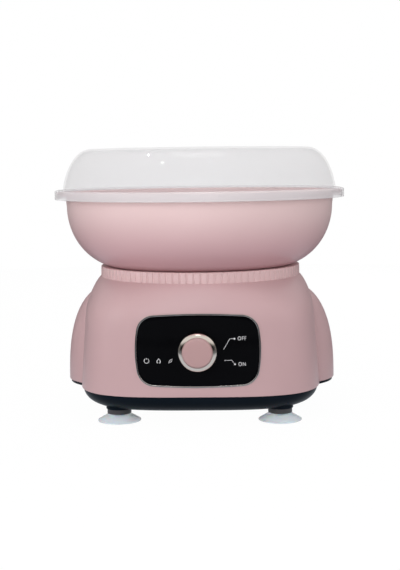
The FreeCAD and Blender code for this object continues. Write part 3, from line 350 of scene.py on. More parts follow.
plastics = {
    "pinkPlastic": {
        "colour": (0.600, 0.400, 0.412), "shade": (0.580, 0.383, 0.396),
        "roughness": (0.36, 0.42), "grainScale": 900, "relief": 0.03,
        "sockets": {"Coat Weight": 0.12, "Coat Roughness": 0.2, "IOR": 1.48},
    },
    # the collar is the housing's plastic painted lighter: painted light against the shade under
    # the bowl's overhang
    "collarPinkPaintedLight": {
        "colour": (0.722, 0.510, 0.512), "shade": (0.702, 0.490, 0.494),
        "roughness": (0.26, 0.34), "grainScale": 900, "relief": 0.03,
        "sockets": {"Coat Weight": 0.25, "Coat Roughness": 0.15, "IOR": 1.48},
    },
    # the bowl's pink is painted lighter than the housing's: painted light for the lamps falling
    # on it more and against the shadow of the lid's flange
    "bowlPinkPaintedLight": {
        "colour": (0.812, 0.618, 0.612), "shade": (0.794, 0.598, 0.594),
        "paintedShadeTint": (0.805, 0.64, 0.69), "paintedShadeTop": 212, "paintedShadeBottom": 150,
        "roughness": (0.30, 0.36), "grainScale": 700, "relief": 0.02,
        "sockets": {"Coat Weight": 0.12, "Coat Roughness": 0.12, "IOR": 1.48,
                    "Specular IOR Level": 0.3},
    },
    "knobPlastic": {
        "colour": (0.500, 0.315, 0.312), "shade": (0.482, 0.300, 0.298),
        "roughness": (0.34, 0.40), "grainScale": 900, "relief": 0.03,
        "sockets": {"Coat Weight": 0.12, "Coat Roughness": 0.2, "IOR": 1.48},
    },
    "navyPlastic": {
        "colour": (0.004, 0.008, 0.013), "shade": (0.006, 0.010, 0.016),
        "roughness": (0.28, 0.36), "grainScale": 1200, "relief": 0.08,
        "sockets": {"IOR": 1.5, "Specular IOR Level": 0.06},
    },
    "stemPlastic": {
        "colour": (0.050, 0.047, 0.050), "shade": (0.062, 0.058, 0.060),
        "roughness": (0.36, 0.5), "grainScale": 1400, "relief": 0.3,
    },
    "milkySilicone": {
        "colour": (0.83, 0.89, 1.0), "shade": (0.80, 0.86, 0.98),
        "roughness": (0.34, 0.46), "grainScale": 600, "relief": 0.06,
        "sockets": {"Subsurface Weight": 0.4, "Subsurface Scale": 0.006, "IOR": 1.41,
                    "Alpha": 0.50},
    },
    "glossBlack": {
        "colour": (0.0016, 0.0016, 0.0022), "shade": (0.0022, 0.0022, 0.0028),
        "roughness": (0.05, 0.09), "grainScale": 300, "relief": 0.01,
        "sockets": {"IOR": 1.46, "Specular IOR Level": 0.22},
    },
    "printWhite": {
        "colour": (0.86, 0.86, 0.88), "shade": (0.80, 0.80, 0.82),
        "roughness": (0.4, 0.55), "grainScale": 2500, "relief": 0.2,
    },
    "blackPlastic": {
        "colour": (0.012, 0.012, 0.013), "shade": (0.018, 0.018, 0.019),
        "roughness": (0.4, 0.55), "grainScale": 1500, "relief": 0.3,
    },
    "blackRubber": {
        "colour": (0.010, 0.010, 0.010), "shade": (0.016, 0.016, 0.016),
        "roughness": (0.62, 0.8), "grainScale": 1800, "relief": 0.45,
    },
    "boardGreen": {
        "colour": (0.010, 0.085, 0.030), "shade": (0.014, 0.110, 0.040),
        "roughness": (0.25, 0.4), "grainScale": 500, "relief": 0.2,
    },
    "lampResin": {
        "colour": (0.80, 0.80, 0.78), "shade": (0.74, 0.75, 0.74),
        "roughness": (0.08, 0.14), "grainScale": 400, "relief": 0.05,
        "sockets": {"Transmission Weight": 0.6, "IOR": 1.5},
    },
    "whiteCeramic": {
        "colour": (0.80, 0.78, 0.71), "shade": (0.72, 0.69, 0.62),
        "roughness": (0.55, 0.75), "grainScale": 1300, "relief": 0.5,
    },
    "magnetFerrite": {
        "colour": (0.020, 0.020, 0.022), "shade": (0.034, 0.033, 0.034),
        "roughness": (0.5, 0.7), "grainScale": 1600, "relief": 0.5,
    },
    "pressedCarbon": {
        "colour": (0.010, 0.010, 0.010), "shade": (0.022, 0.021, 0.020),
        "roughness": (0.45, 0.6), "grainScale": 2200, "relief": 0.5,
    },
    "nylon": {
        "colour": (0.66, 0.64, 0.57), "shade": (0.60, 0.58, 0.51),
        "roughness": (0.36, 0.5), "grainScale": 900, "relief": 0.25,
    },
}

metals = {
    "champagneTrim": {
        "colour": (0.90, 0.81, 0.72), "shade": (0.84, 0.75, 0.67),
        "roughness": (0.12, 0.18), "grainScale": 600, "relief": 0.03,
        "sockets": {"Metallic": 1.0},
    },
    "chromeTrim": {
        "colour": (0.84, 0.80, 0.76), "shade": (0.78, 0.74, 0.71),
        "roughness": (0.07, 0.13), "grainScale": 600, "relief": 0.03,
        "sockets": {"Metallic": 1.0},
    },
    "zincSteel": {
        "colour": (0.50, 0.51, 0.53), "shade": (0.40, 0.41, 0.43),
        "roughness": (0.26, 0.42), "grainScale": 500, "relief": 0.2,
        "sockets": {"Metallic": 1.0},
    },
    "elementSteel": {
        "colour": (0.20, 0.17, 0.15), "shade": (0.11, 0.085, 0.075),
        "roughness": (0.35, 0.55), "grainScale": 700, "relief": 0.35, "driftScale": 60,
        "sockets": {"Metallic": 1.0},
    },
    "bronze": {
        "colour": (0.45, 0.29, 0.12), "shade": (0.35, 0.21, 0.085),
        "roughness": (0.3, 0.45), "grainScale": 900, "relief": 0.25,
        "sockets": {"Metallic": 1.0},
    },
    "laminatedCore": {
        "colour": (0.11, 0.08, 0.06), "shade": (0.30, 0.12, 0.04),
        "roughness": (0.35, 0.5), "grainScale": 300, "relief": 0.6, "driftScale": 90,
        "stretch": (0.05, 0.05, 6), "sockets": {"Metallic": 0.8},
    },
    "copperBars": {
        "colour": (0.55, 0.24, 0.11), "shade": (0.44, 0.17, 0.075),
        "roughness": (0.2, 0.35), "grainScale": 400, "relief": 0.3,
        "stretch": (4, 4, 0.1), "sockets": {"Metallic": 1.0},
    },
}

spun = {
    "spunAluminium": {
        "colour": (0.74, 0.75, 0.76), "shade": (0.66, 0.67, 0.69),
        "roughness": (0.16, 0.28), "grainScale": 700, "relief": 0.08,
        "ringScale": 260, "ringRelief": 0.25, "sockets": {"Metallic": 1.0},
    },
    "groundSteel": {
        "colour": (0.60, 0.60, 0.61), "shade": (0.52, 0.52, 0.53),
        "roughness": (0.14, 0.24), "grainScale": 900, "relief": 0.08,
        "ringScale": 400, "ringRelief": 0.2, "sockets": {"Metallic": 1.0},
    },
}

materials = {}
for name, look in {**plastics, **metals}.items():
    materials[name] = finish(name, look)
for name, look in spun.items():
    materials[name] = spunFinish(name, look)

lidLook = {
    "roughness": (0.27, 0.34), "cloudScale": 18, "cloudDetail": 3, "grainScale": 500,
    "grainDetail": 3, "relief": 0.08, "reliefDepth": 0.04,
    "sockets": {"IOR": 1.49, "Specular IOR Level": 0.0, "Coat Weight": 0.50,
                "Coat Roughness": 0.04},
    "dome": {"haze": (0.63, 0.635, 0.66), "hazeShade": (0.60, 0.605, 0.63), "haziness": 0.15},
    # the flange's haze is painted lighter and denser than the dome's: painted light over the
    # shade of the bowl's lip behind it
    "flange": {"haze": (0.92, 0.90, 0.92), "hazeShade": (0.88, 0.86, 0.88), "haziness": 0.44},
}


def lidFinish(name, part):
    # a thin haze that the light and the colours behind come through, under a clear gloss
    look = lidLook
    material, nodes, links = newMaterial(name)
    shader = nodes["Principled BSDF"]
    cloud = noiseOn(nodes, links, look["cloudScale"], look["cloudDetail"])
    haze = mixed(nodes, links, "RGBA", ranged(nodes, links, cloud), (*part["haze"], 1),
                 (*part["hazeShade"], 1))
    links.new(haze, shader.inputs["Base Color"])
    grain = noiseOn(nodes, links, look["grainScale"], look["grainDetail"])
    links.new(ranged(nodes, links, grain, *look["roughness"]), shader.inputs["Roughness"])
    bump = reliefOf(nodes, links, grain, look["relief"], look["reliefDepth"])
    links.new(bump.outputs["Normal"], shader.inputs["Normal"])
    shader.inputs["Alpha"].default_value = part["haziness"]
    for socket, value in look["sockets"].items():
        shader.inputs[socket].default_value = value
    return material


materials["milkyLid"] = lidFinish("milkyLid", lidLook["dome"])
materials["milkyFlangePaintedLight"] = lidFinish("milkyFlangePaintedLight", lidLook["flange"])
print("finishes made:", len(materials))

nodeFinishes = {
    "pinkPlastic": ("upper_housing",),
    "collarPinkPaintedLight": ("ribbed_collar",),
    "navyPlastic": ("bottom_pan",),
    "glossBlack": ("control_panel", "icon_window_left", "icon_window_middle",
                   "icon_window_right"),
    "chromeTrim": ("panel_bezel",),
    "boardGreen": ("indicator_board",),
    "lampResin": ("indicator_lamps",),
    "blackPlastic": ("rotary_switch", "terminal_block", "thermal_cutout"),
    "zincSteel": ("board_screws", "switch_nut", "base_screws", "collar_screws", "foot_nuts",
                  "shield_screws", "mount_screws", "plate_screws", "motor_can",
                  "motor_end_plate", "motor_bracket"),
    "groundSteel": ("drive_shaft", "drive_pin", "switch_shaft"),
    "blackRubber": ("cord_grommet", "motor_damper_a", "motor_damper_b", "motor_damper_c"),
    "spunAluminium": ("heat_shield", "head_pan", "head_cover", "head_rivets"),
    "elementSteel": ("heating_ring",),
    "whiteCeramic": ("heater_insulator_a", "heater_insulator_b", "heater_insulator_c"),
    "magnetFerrite": ("motor_magnets",),
    "bronze": ("upper_bearing", "lower_bearing", "head_hub"),
    "pressedCarbon": ("carbon_brushes",),
    "laminatedCore": ("armature",),
    "copperBars": ("commutator",),
    "nylon": ("cooling_fan",),
}
for name, nodeNames in nodeFinishes.items():
    for node in nodeNames:
        paint(cadNodes[node], materials[name])

# the floss bowl: one wall with a rolled lip, a flat floor and a dam around its hole
bowlLow, bowlHigh = boxOf("floss_bowl")
bowlSizes = {
    "bottom": bowlLow[2], "rim": bowlHigh[2], "lipRadius": radiusOf("floss_bowl"),
    "lipWidth": 7.5, "lipThickness": 2.6, "draft": 1.2, "curveHeight": 61.0,
    "floorRadius": 77.6, "holeRadius": 53.0, "damHeight": 16.0, "wall": 2.2,
    "curveSteps": 22, "segments": 160, "edgeWidth": 0.7, "smoothAngle": 40,
}


def makeBowl():
    s = bowlSizes
    rimRadius = s["lipRadius"] - s["lipWidth"]
    curveRadius = rimRadius - s["draft"]
    curveTop = s["bottom"] + s["curveHeight"]
    lipUnder = s["rim"] - s["lipThickness"]
    inner = curveRadius - s["wall"]
    floor = s["bottom"] + s["wall"]
    damOuter = s["holeRadius"] + s["wall"]
    damTop = s["bottom"] + s["damHeight"]
    rings = [(s["holeRadius"], s["bottom"]), (s["floorRadius"], s["bottom"])]
    rings += quarter(s["floorRadius"], s["bottom"], curveRadius, curveTop, True,
                     s["curveSteps"])
    rings += [(rimRadius, lipUnder), (s["lipRadius"], lipUnder), (s["lipRadius"], s["rim"]),
              (rimRadius - s["wall"], s["rim"]), (inner, curveTop)]
    rings += quarter(inner, curveTop, s["floorRadius"], floor, False, s["curveSteps"])
    rings += [(damOuter, floor), (damOuter, damTop), (s["holeRadius"], damTop),
              (s["holeRadius"], s["bottom"])]
    piece = turned("flossBowl", rings, s["segments"])
    softenEdges(piece, s["edgeWidth"])
    tidyMesh(piece, s["smoothAngle"])
    # the bowl takes the lighter pink of painted light, with painted shade towards its bottom
    return paint(piece, materials["bowlPinkPaintedLight"])


bowl = makeBowl()
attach(bowl, "bowl")
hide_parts("floss_bowl")
print("bowl made")

# the lid: a low dome on a flange that rests on the bowl's lip, with a skirt around it
lidLow, lidHigh = boxOf("lid")
lidSizes = {
    "radius": radiusOf("lid"), "top": lidHigh[2], "skirtLow": lidLow[2], "wall": 1.8,
    "topRadius": 109.05, "middleShare": 0.5, "curveWidth": 28.4, "curveHeight": 55.8,
    "shelfAboveRim": 2.0, "seatPlay": 0.2, "edgeRound": 1.7, "edgeSteps": 4,
    "curveSteps": 18, "segments": 160, "edgeWidth": 0.4, "edgeSegments": 2,
    "smoothAngle": 40,
}


def makeLid():
    s = lidSizes
    skirtInner = s["radius"] - s["wall"]
    edgeRadius = s["radius"] - s["edgeRound"]
    shelf = bowlSizes["rim"] + s["shelfAboveRim"]
    seat = bowlSizes["rim"] + s["seatPlay"]
    centre = s["top"] - s["curveHeight"]
    ceiling = s["top"] - s["wall"]
    middle = s["topRadius"] * s["middleShare"]
    inside = fallingArc(s["topRadius"], centre, s["curveWidth"] - s["wall"],
                        s["curveHeight"] - s["wall"], shelf, s["curveSteps"])
    rings = [(0, s["top"]), (middle, s["top"]), (s["topRadius"], s["top"])]
    rings += fallingArc(s["topRadius"], centre, s["curveWidth"], s["curveHeight"], shelf,
                        s["curveSteps"])
    rings += [(edgeRadius, shelf)]
    rings += quarter(edgeRadius, shelf, s["radius"], shelf - s["edgeRound"], True,
                     s["edgeSteps"])
    rings += [(s["radius"], s["skirtLow"]), (skirtInner, s["skirtLow"]), (skirtInner, seat),
              (inside[-1][0], seat)]
    rings += inside[::-1]
    rings += [(s["topRadius"], ceiling), (middle, ceiling), (0, ceiling)]
    piece = turned("milkyLid", rings, s["segments"])
    softenEdges(piece, s["edgeWidth"], s["edgeSegments"])
    tidyMesh(piece, s["smoothAngle"])
    paint(piece, materials["milkyLid"])
    # the flange's faces take the lighter haze of painted light
    piece.data.materials.append(materials["milkyFlangePaintedLight"])
    for face in piece.data.polygons:
        if math.hypot(face.center.x, face.center.y) > (s["topRadius"] + s["curveWidth"]) * mm:
            face.material_index = 1
    return piece


lid = makeLid()
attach(lid, "lid")
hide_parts("lid")
print("lid made")

# the feet: a soft cup with a hollow underside, and a stem whose stud goes up into the pan
cupTop = boxOf("suction_cup_front_left")[1][2]
stemLow, stemHigh = boxOf("foot_stem_front_left")
cupSizes = {
    "radius": radiusOf("suction_cup_front_left"), "height": cupTop, "lip": 0.9,
    "neckRadius": 11.2, "pegRadius": 4.15, "pegDepth": 3.35, "recess": 2.4,
    "recessRadius": 4, "recessSteps": 10, "segments": 72, "edgeWidth": 0.25,
    "stepOuter": (0.34, 0.33), "stepInner": (0.36, 0.37),    # shares of the way in and up
}
stemSizes = {
    "radius": radiusOf("foot_stem_back_right"), "low": cupTop, "height": 4.8,
    "pegRadius": 4.0, "pegLow": stemLow[2], "studRadius": 3.0, "studTop": stemHigh[2],
    "segments": 48, "edgeWidth": 0.35,
}
footLook = {"edgeSegments": 2, "smoothAngle": 40}


def makeCup():
    s = cupSizes
    across, upward = s["radius"] - s["neckRadius"], s["height"] - 2 * s["lip"]
    pegTop = s["height"] - s["pegDepth"]
    rings = [(0, s["recess"]), (s["recessRadius"], s["recess"])]
    rings += quarter(s["recessRadius"], s["recess"], s["radius"] - s["lip"], 0, True,
                     s["recessSteps"])
    rings += [(s["radius"], 0), (s["radius"], s["lip"])]
    for inward, up in (s["stepOuter"], s["stepInner"]):
        rings.append((s["radius"] - across * inward, s["lip"] + upward * up))
    rings += [(s["neckRadius"], s["height"] - s["lip"]), (s["neckRadius"], s["height"]),
              (s["pegRadius"], s["height"]), (s["pegRadius"], pegTop), (0, pegTop)]
    cup = turned("suctionCup", rings, s["segments"])
    softenEdges(cup, s["edgeWidth"], footLook["edgeSegments"])
    return paint(tidyMesh(cup, footLook["smoothAngle"]), materials["milkySilicone"])


def makeStem():
    s = stemSizes
    top = s["low"] + s["height"]
    rings = [(0, s["pegLow"]), (s["pegRadius"], s["pegLow"]), (s["pegRadius"], s["low"]),
             (s["radius"], s["low"]), (s["radius"], top), (s["studRadius"], top),
             (s["studRadius"], s["studTop"]), (0, s["studTop"])]
    stem = turned("footStem", rings, s["segments"])
    softenEdges(stem, s["edgeWidth"], footLook["edgeSegments"])
    return paint(tidyMesh(stem, footLook["smoothAngle"]), materials["stemPlastic"])


firstCup, firstStem = makeCup(), makeStem()
for place in ("front_left", "front_right", "back_left", "back_right"):
    x, y, _ = middleOf("suction_cup_" + place)
    cup = copyTo(firstCup, "suctionCup_" + place, x, y)
    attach(cup, "base")
    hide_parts("suction_cup_" + place)
    stem = copyTo(firstStem, "footStem_" + place, x, y)
    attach(stem, "base")
    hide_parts("foot_stem_" + place)
for first in (firstCup, firstStem):
    bpy.data.objects.remove(first)
print("feet made")

# the knob: a bright ring around a crowned cap, turned upwards and then laid to face the front
knobMiddle = middleOf("knob_cap")
knobBack = round(boxOf("knob_ring")[1][1], 2)
knobSizes = {
    "radius": radiusOf("knob_ring"), "capRadius": radiusOf("knob_cap"), "back": 1.19,
    "depth": 12.0, "gap": 0.05, "capProud": 2.2, "capRound": 2.0, "roundSteps": 6,
    "crown": 0.35, "crownShares": (0.8, 0.6, 0.4, 0.2, 0), "boreRadius": 3.05,
    "bossRadius": 5.2, "bossBack": 3.5, "wall": 2.2, "backEdge": 0.4, "frontEdge": 0.2,
    "slope": 2.6, "slopeBulge": 0.25, "slopeSteps": 8, "ringSegments": 128,
    "capSegments": 96,
}
knobPlace = (knobMiddle[0], knobBack + knobSizes["back"], knobMiddle[2])


def makeKnobRing():
    s = knobSizes
    inner = s["capRadius"] + s["gap"]
    front = s["back"] + s["depth"]
    low = front - s["slope"]
    rings = [(inner, s["back"]), (s["radius"] - s["backEdge"], s["back"]),
             (s["radius"], s["back"] + s["backEdge"]), (s["radius"], low)]
    # the front is a slightly rounded cone, so it mirrors the sky, the floor and the dark sides
    for step in range(1, s["slopeSteps"] + 1):
        share = step / s["slopeSteps"]
        bulge = s["slopeBulge"] * math.sin(math.pi * share)
        rings.append((s["radius"] + (inner + s["frontEdge"] - s["radius"]) * share + bulge,
                      low + s["slope"] * share + bulge))
    rings += [(inner, front - s["frontEdge"]), (inner, s["back"])]
    ring = turned("knobRing", rings, s["ringSegments"])
    faceForward(ring, *knobPlace)
    return paint(ring, materials["champagneTrim"])


def makeKnobCap():
    s = knobSizes
    front = s["back"] + s["depth"]
    face = front + s["capProud"]
    skin = front - s["wall"]
    hollow = s["capRadius"] - s["wall"]
    crowned = s["capRadius"] - s["capRound"]
    edge = face - s["capRound"] - s["crown"]
    rings = [(s["boreRadius"], s["bossBack"]), (s["bossRadius"], s["bossBack"]),
             (s["bossRadius"], skin), (hollow, skin), (hollow, s["back"]),
             (s["capRadius"], s["back"]), (s["capRadius"], edge)]
    rings += quarter(s["capRadius"], edge, crowned, face - s["crown"], False,
                     s["roundSteps"])
    for share in s["crownShares"]:
        rings.append((crowned * share, face - s["crown"] * share ** 2))
    rings += [(0, skin + s["gap"]), (s["boreRadius"], skin + s["gap"]),
              (s["boreRadius"], s["bossBack"])]
    cap = turned("knobCap", rings, s["capSegments"])
    faceForward(cap, *knobPlace)
    return paint(cap, materials["knobPlastic"])


knobRing, knobCap = makeKnobRing(), makeKnobCap()
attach(knobRing, "knob")
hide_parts("knob_ring")
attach(knobCap, "knob")
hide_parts("knob_cap")
print("knob made")

# the mouldings, joined so that they shade smoothly: name, finish, slot, sharpest smooth angle
smoothed = {
    "upper_housing": ("pinkHousing", "pinkPlastic", "pink_plastic", 26),
    # the collar takes the lighter pink of painted light
    "ribbed_collar": ("ribbedCollar", "collarPinkPaintedLight", "pink_plastic", 24),
    "bottom_pan": ("navyPan", "navyPlastic", "navy_plastic", 26),
    "panel_bezel": ("panelBezel", "chromeTrim", "chrome_trim", 30),
    "control_panel": ("glossPanel", "glossBlack", "panel_black", 30),
}
bezelEdge = {"width": 0.35, "segments": 3, "angle": 40}
for node, (name, material, slotName, angle) in smoothed.items():
    piece = paint(smoothCopy(node, name, angle), materials[material])
    if node == "panel_bezel":
        softenEdges(piece, **bezelEdge)
    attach(piece, "base")
    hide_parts(node)
print("housing smoothed")

# what is printed on the panel: words, leader lines with dots, and pictograms
printSizes = {
    "ahead": -119.0, "thickness": 0.06, "gap": 0.02, "smoothAngle": 20,
    "bedWidth": 112, "bedHeight": 62, "bedColumns": 60, "bedRows": 30,
    "letterHeight": 3.9, "textScale": 1.35, "letterWidth": 0.82, "letterThinning": 0.05,
    "letterSpacing": 1.12, "upperWord": (36.8, 81.7), "lowerWord": (37.3, 57.9),
    "upperLine": [(23.8, 73.4), (29.7, 83.3), (33.6, 83.3)],
    "lowerLine": [(24.3, 63.3), (31.4, 63.3), (34.0, 59.6)],
    "lineWidth": 0.37, "linePieces": 4, "dotRight": 0.3, "dotDown": 0.1,
    "dotRadius": 0.42, "dotStroke": 0.8, "dotTurn": 330, "dotPieces": 11,
}


def projectOnto(piece, target, gap=0):
    # every point moves straight back until it meets the target
    wrap = piece.modifiers.new("onPanel", "SHRINKWRAP")
    wrap.wrap_method = "PROJECT"
    wrap.use_project_y = True
    wrap.use_positive_direction = True
    wrap.use_negative_direction = False
    wrap.target = target
    wrap.offset = gap * mm


def layOnPanel(piece, name):
    # a flat outline that faces the front drops on the panel's curved face and becomes a film
    nameIt(piece, name)
    settle(piece)
    joinDoubles(piece, meshCare["joinFine"])
    projectOnto(piece, bpy.data.objects["printBed"], printSizes["gap"])
    film = piece.modifiers.new("film", "SOLIDIFY")
    film.thickness = printSizes["thickness"] * mm
    film.offset = 1
    applyAll(piece)
    tidyMesh(piece, printSizes["smoothAngle"])
    paint(piece, materials["printWhite"])
    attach(piece, "base")
    return piece


def printBed():
    # the front faces of the panel and its windows, filled over, for the prints to land on
    s = printSizes
    faces = [bpy.data.objects["glossPanel"]]
    faces += [cadNodes["icon_window_" + side] for side in ("left", "middle", "right")]
    clearSelection()
    for face in faces:
        face.select_set(True)
    bpy.context.view_layer.objects.active = faces[0]
    bpy.ops.object.duplicate()
    bpy.ops.object.join()
    joined = bpy.context.object
    clearSelection()
    bpy.ops.mesh.primitive_grid_add(x_subdivisions=s["bedColumns"],
                                    y_subdivisions=s["bedRows"], size=1)
    bed = nameIt(bpy.context.object, "printBed")
    bed.scale = (s["bedWidth"] * mm, s["bedHeight"] * mm, 1)
    faceForward(bed, 0, s["ahead"], middleOf("control_panel")[2])
    projectOnto(bed, joined)
    applyAll(bed)
    bpy.data.objects.remove(joined)
    return bed


def headingAt(points, index, closed):
    # the direction of a line in the XZ plane at one of its points
    count = len(points)
    before = points[index - 1] if index > 0 or closed else points[index]
    after = points[(index + 1) % count] if index < count - 1 or closed else points[index]
    return math.atan2(after[1] - before[1], after[0] - before[0])


def ribbon(name, points, width, closed=False):
    # a short edge across the start of a line is extruded from point to point and turned with it
    ahead = printSizes["ahead"] * mm
    path = points + points[:1] if closed else points
    headings = [headingAt(points, index % len(points), closed) for index in range(len(path))]
    (x, z), heading = path[0], headings[0]
    clearSelection()
    bpy.ops.mesh.primitive_plane_add(size=width * mm, location=(x * mm, ahead, z * mm))
    piece = bpy.context.object
    bpy.ops.object.transform_apply(location=True)
    bpy.ops.object.mode_set(mode="EDIT")
    bpy.ops.mesh.select_all(action="SELECT")
    bpy.ops.mesh.merge(type="CENTER")
    across = Vector((math.sin(heading), 0, -math.cos(heading))) * width * mm
    bpy.ops.transform.translate(value=-across / 2)
    bpy.ops.mesh.extrude_vertices_move(TRANSFORM_OT_translate={"value": across})
    bpy.ops.mesh.select_all(action="SELECT")
    for (nextX, nextZ), nextHeading in zip(path[1:], headings[1:]):
        step = Vector((nextX - x, 0, nextZ - z)) * mm
        bpy.ops.mesh.extrude_region_move(TRANSFORM_OT_translate={"value": step})
        bpy.ops.transform.rotate(value=nextHeading - heading, orient_axis="Y",
                                 center_override=(nextX * mm, ahead, nextZ * mm))
        x, z, heading = nextX, nextZ, nextHeading
    bpy.ops.object.mode_set(mode="OBJECT")
    return layOnPanel(piece, name)


def word(name, text, place):
    s = printSizes
    clearSelection()
    bpy.ops.object.text_add(location=(place[0] * mm, s["ahead"] * mm, place[1] * mm),
                            rotation=(math.radians(90), 0, 0))
    piece = bpy.context.object
    piece.data.body = text
    piece.data.size = s["letterHeight"] * mm * s["textScale"]
    piece.data.offset = -s["letterThinning"] * mm
    piece.data.space_character = s["letterSpacing"]
    piece.scale.x = s["letterWidth"]
    bpy.ops.object.convert(target="MESH")
    return layOnPanel(bpy.context.object, name)


def divided(points, pieces):
    # extra points along each run, so that a long stroke follows the panel's curve
    out = []
    for (x0, z0), (x1, z1) in zip(points, points[1:]):
        for step in range(pieces):
            share = step / pieces
            out.append((x0 + (x1 - x0) * share, z0 + (z1 - z0) * share))
    return out + [points[-1]]


def ringPoints(x, z, radius, start, end, count):
    points = []
    for index in range(count + 1):
        turn = math.radians(start + (end - start) * index / count)
        points.append((x + radius * math.cos(turn), z + radius * math.sin(turn)))
    return points


def leaderLine(name, points):
    ribbon(name, divided(points, printSizes["linePieces"]), printSizes["lineWidth"])


def endDot(name, points):
    # a small solid dot by the end of a leader line
    s = printSizes
    x, z = points[-1]
    outline = ringPoints(x + s["dotRight"], z - s["dotDown"], s["dotRadius"], 0,
                         s["dotTurn"], s["dotPieces"])
    ribbon(name, outline, s["dotStroke"], closed=True)


bed = printBed()
leaderLine("printUpperLine", printSizes["upperLine"])
leaderLine("printLowerLine", printSizes["lowerLine"])
endDot("printUpperDot", printSizes["upperLine"])
endDot("printLowerDot", printSizes["lowerLine"])
word("printOff", "OFF", printSizes["upperWord"])
word("printOn", "ON", printSizes["lowerWord"])

iconSizes = {
    "stroke": 0.4, "radius": 2.25, "ringStart": 118, "ringEnd": 422, "ringPieces": 20,
    "barLow": 1.1, "barReach": 0.5, "flameStroke": 0.55,
    # outlines from the middle of their windows, to the right and up
    "flame": [(-0.55, -2.1), (-1.65, -1.2), (-1.7, -0.1), (-1.1, 0.5), (-0.5, 1.2),
              (-0.2, 2.2), (0.9, 1.1), (1.6, -0.2), (1.6, -1.2), (0.6, -2.1)],
    "leaf": [(-1.9, -1.9), (-1.3, -0.3), (-0.1, 1.1), (1.8, 1.9), (1.2, 0.3), (0.1, -1.1)],
}


def placed(outline, x, z):
    return [(x + right, z + up) for right, up in outline]


def makeIcons():
    s = iconSizes
    x, _, z = middleOf("icon_window_left")
    ring = ringPoints(x, z, s["radius"], s["ringStart"], s["ringEnd"], s["ringPieces"])
    ribbon("printPowerRing", ring, s["stroke"])
    bar = [(x, z + s["barLow"]), (x, z + s["radius"] + s["barReach"])]
    ribbon("printPowerBar", bar, s["stroke"])
    x, _, z = middleOf("icon_window_middle")
    ribbon("printFlame", placed(s["flame"], x, z), s["flameStroke"])
    x, _, z = middleOf("icon_window_right")
    ribbon("printLeaf", placed(s["leaf"], x, z), s["stroke"], closed=True)


makeIcons()
bpy.data.objects.remove(bed)
print("panel printed")

# the stage in metres: floor and sky are white to the eye and dimmer in what gloss mirrors
stageLook = {
    "floorRadius": 1.6, "floorSides": 96, "floorDrop": 0.0002,
    "floorColour": (0.30, 0.30, 0.31), "floorRoughness": 0.8, "floorShine": 0.1,
    "floorGlow": 0.95, "glowLevel": 1.035, "floorSheen": (0.86, 0.92, 1.0),
    "sheenNear": 0.24, "sheenFar": 0.52, "sheenLow": 0.15, "sheenHigh": 0.65,
    "ambient": 0.33, "skyGlow": 0.75, "sideGlow": 0.22, "frontDark": 0.015,
    "frontEdge": -0.60, "backEdge": 0.40, "skyLow": 0.18, "skyHigh": 0.50,
}


def calculated(nodes, links, operation, first, second):
    step = nodes.new("ShaderNodeMath")
    step.operation = operation
    feed(links, first, step.inputs[0])
    feed(links, second, step.inputs[1])
    return step.outputs[0]


def glowing(nodes, links, colour, strength):
    glow = nodes.new("ShaderNodeEmission")
    glow.inputs["Color"].default_value = (*colour, 1)
    feed(links, strength, glow.inputs["Strength"])
    return glow.outputs[0]


def shadersMixed(nodes, links, factor, first, second):
    mix = nodes.new("ShaderNodeMixShader")
    links.new(factor, mix.inputs["Fac"])
    links.new(first, mix.inputs[1])
    links.new(second, mix.inputs[2])
    return mix.outputs[0]


def raysOf(nodes, links):
    # whether a ray comes from the eye, also through the lid, and whether it is mirrored
    rays = nodes.new("ShaderNodeLightPath")
    seen = calculated(nodes, links, "MAXIMUM", rays.outputs["Is Camera Ray"],
                      rays.outputs["Is Transmission Ray"])
    return seen, rays.outputs["Is Glossy Ray"]


def makeFloor():
    # white to the eye; gloss sees it bright close by and dark far out; it keeps the shadow
    s = stageLook
    clearSelection()
    bpy.ops.mesh.primitive_circle_add(vertices=s["floorSides"], radius=s["floorRadius"],
                                      fill_type="NGON", location=(0, 0, -s["floorDrop"]))
    floor = nameIt(bpy.context.object, "studioFloor")
    settle(floor)
    material, nodes, links = newMaterial("paleFloor")
    shader = nodes["Principled BSDF"]
    shader.inputs["Base Color"].default_value = (*s["floorColour"], 1)
    shader.inputs["Roughness"].default_value = s["floorRoughness"]
    shader.inputs["Specular IOR Level"].default_value = s["floorShine"]
    place = nodes.new("ShaderNodeTexCoord")
    away = nodes.new("ShaderNodeVectorMath")
    away.operation = "LENGTH"
    links.new(place.outputs["Object"], away.inputs[0])
    fade = remapped(nodes, links, away.outputs["Value"], s["sheenNear"], s["sheenFar"],
                    s["sheenHigh"], s["sheenLow"], smooth=True)
    seen, mirrored = raysOf(nodes, links)
    share = calculated(nodes, links, "MULTIPLY", seen, s["floorGlow"])
    glow = glowing(nodes, links, (1, 1, 1), s["glowLevel"])
    sheen = glowing(nodes, links, s["floorSheen"], fade)
    toEye = shadersMixed(nodes, links, share, shader.outputs[0], glow)
    surface = shadersMixed(nodes, links, mirrored, toEye, sheen)
    links.new(surface, nodes["Material Output"].inputs["Surface"])
    paint(floor, material)


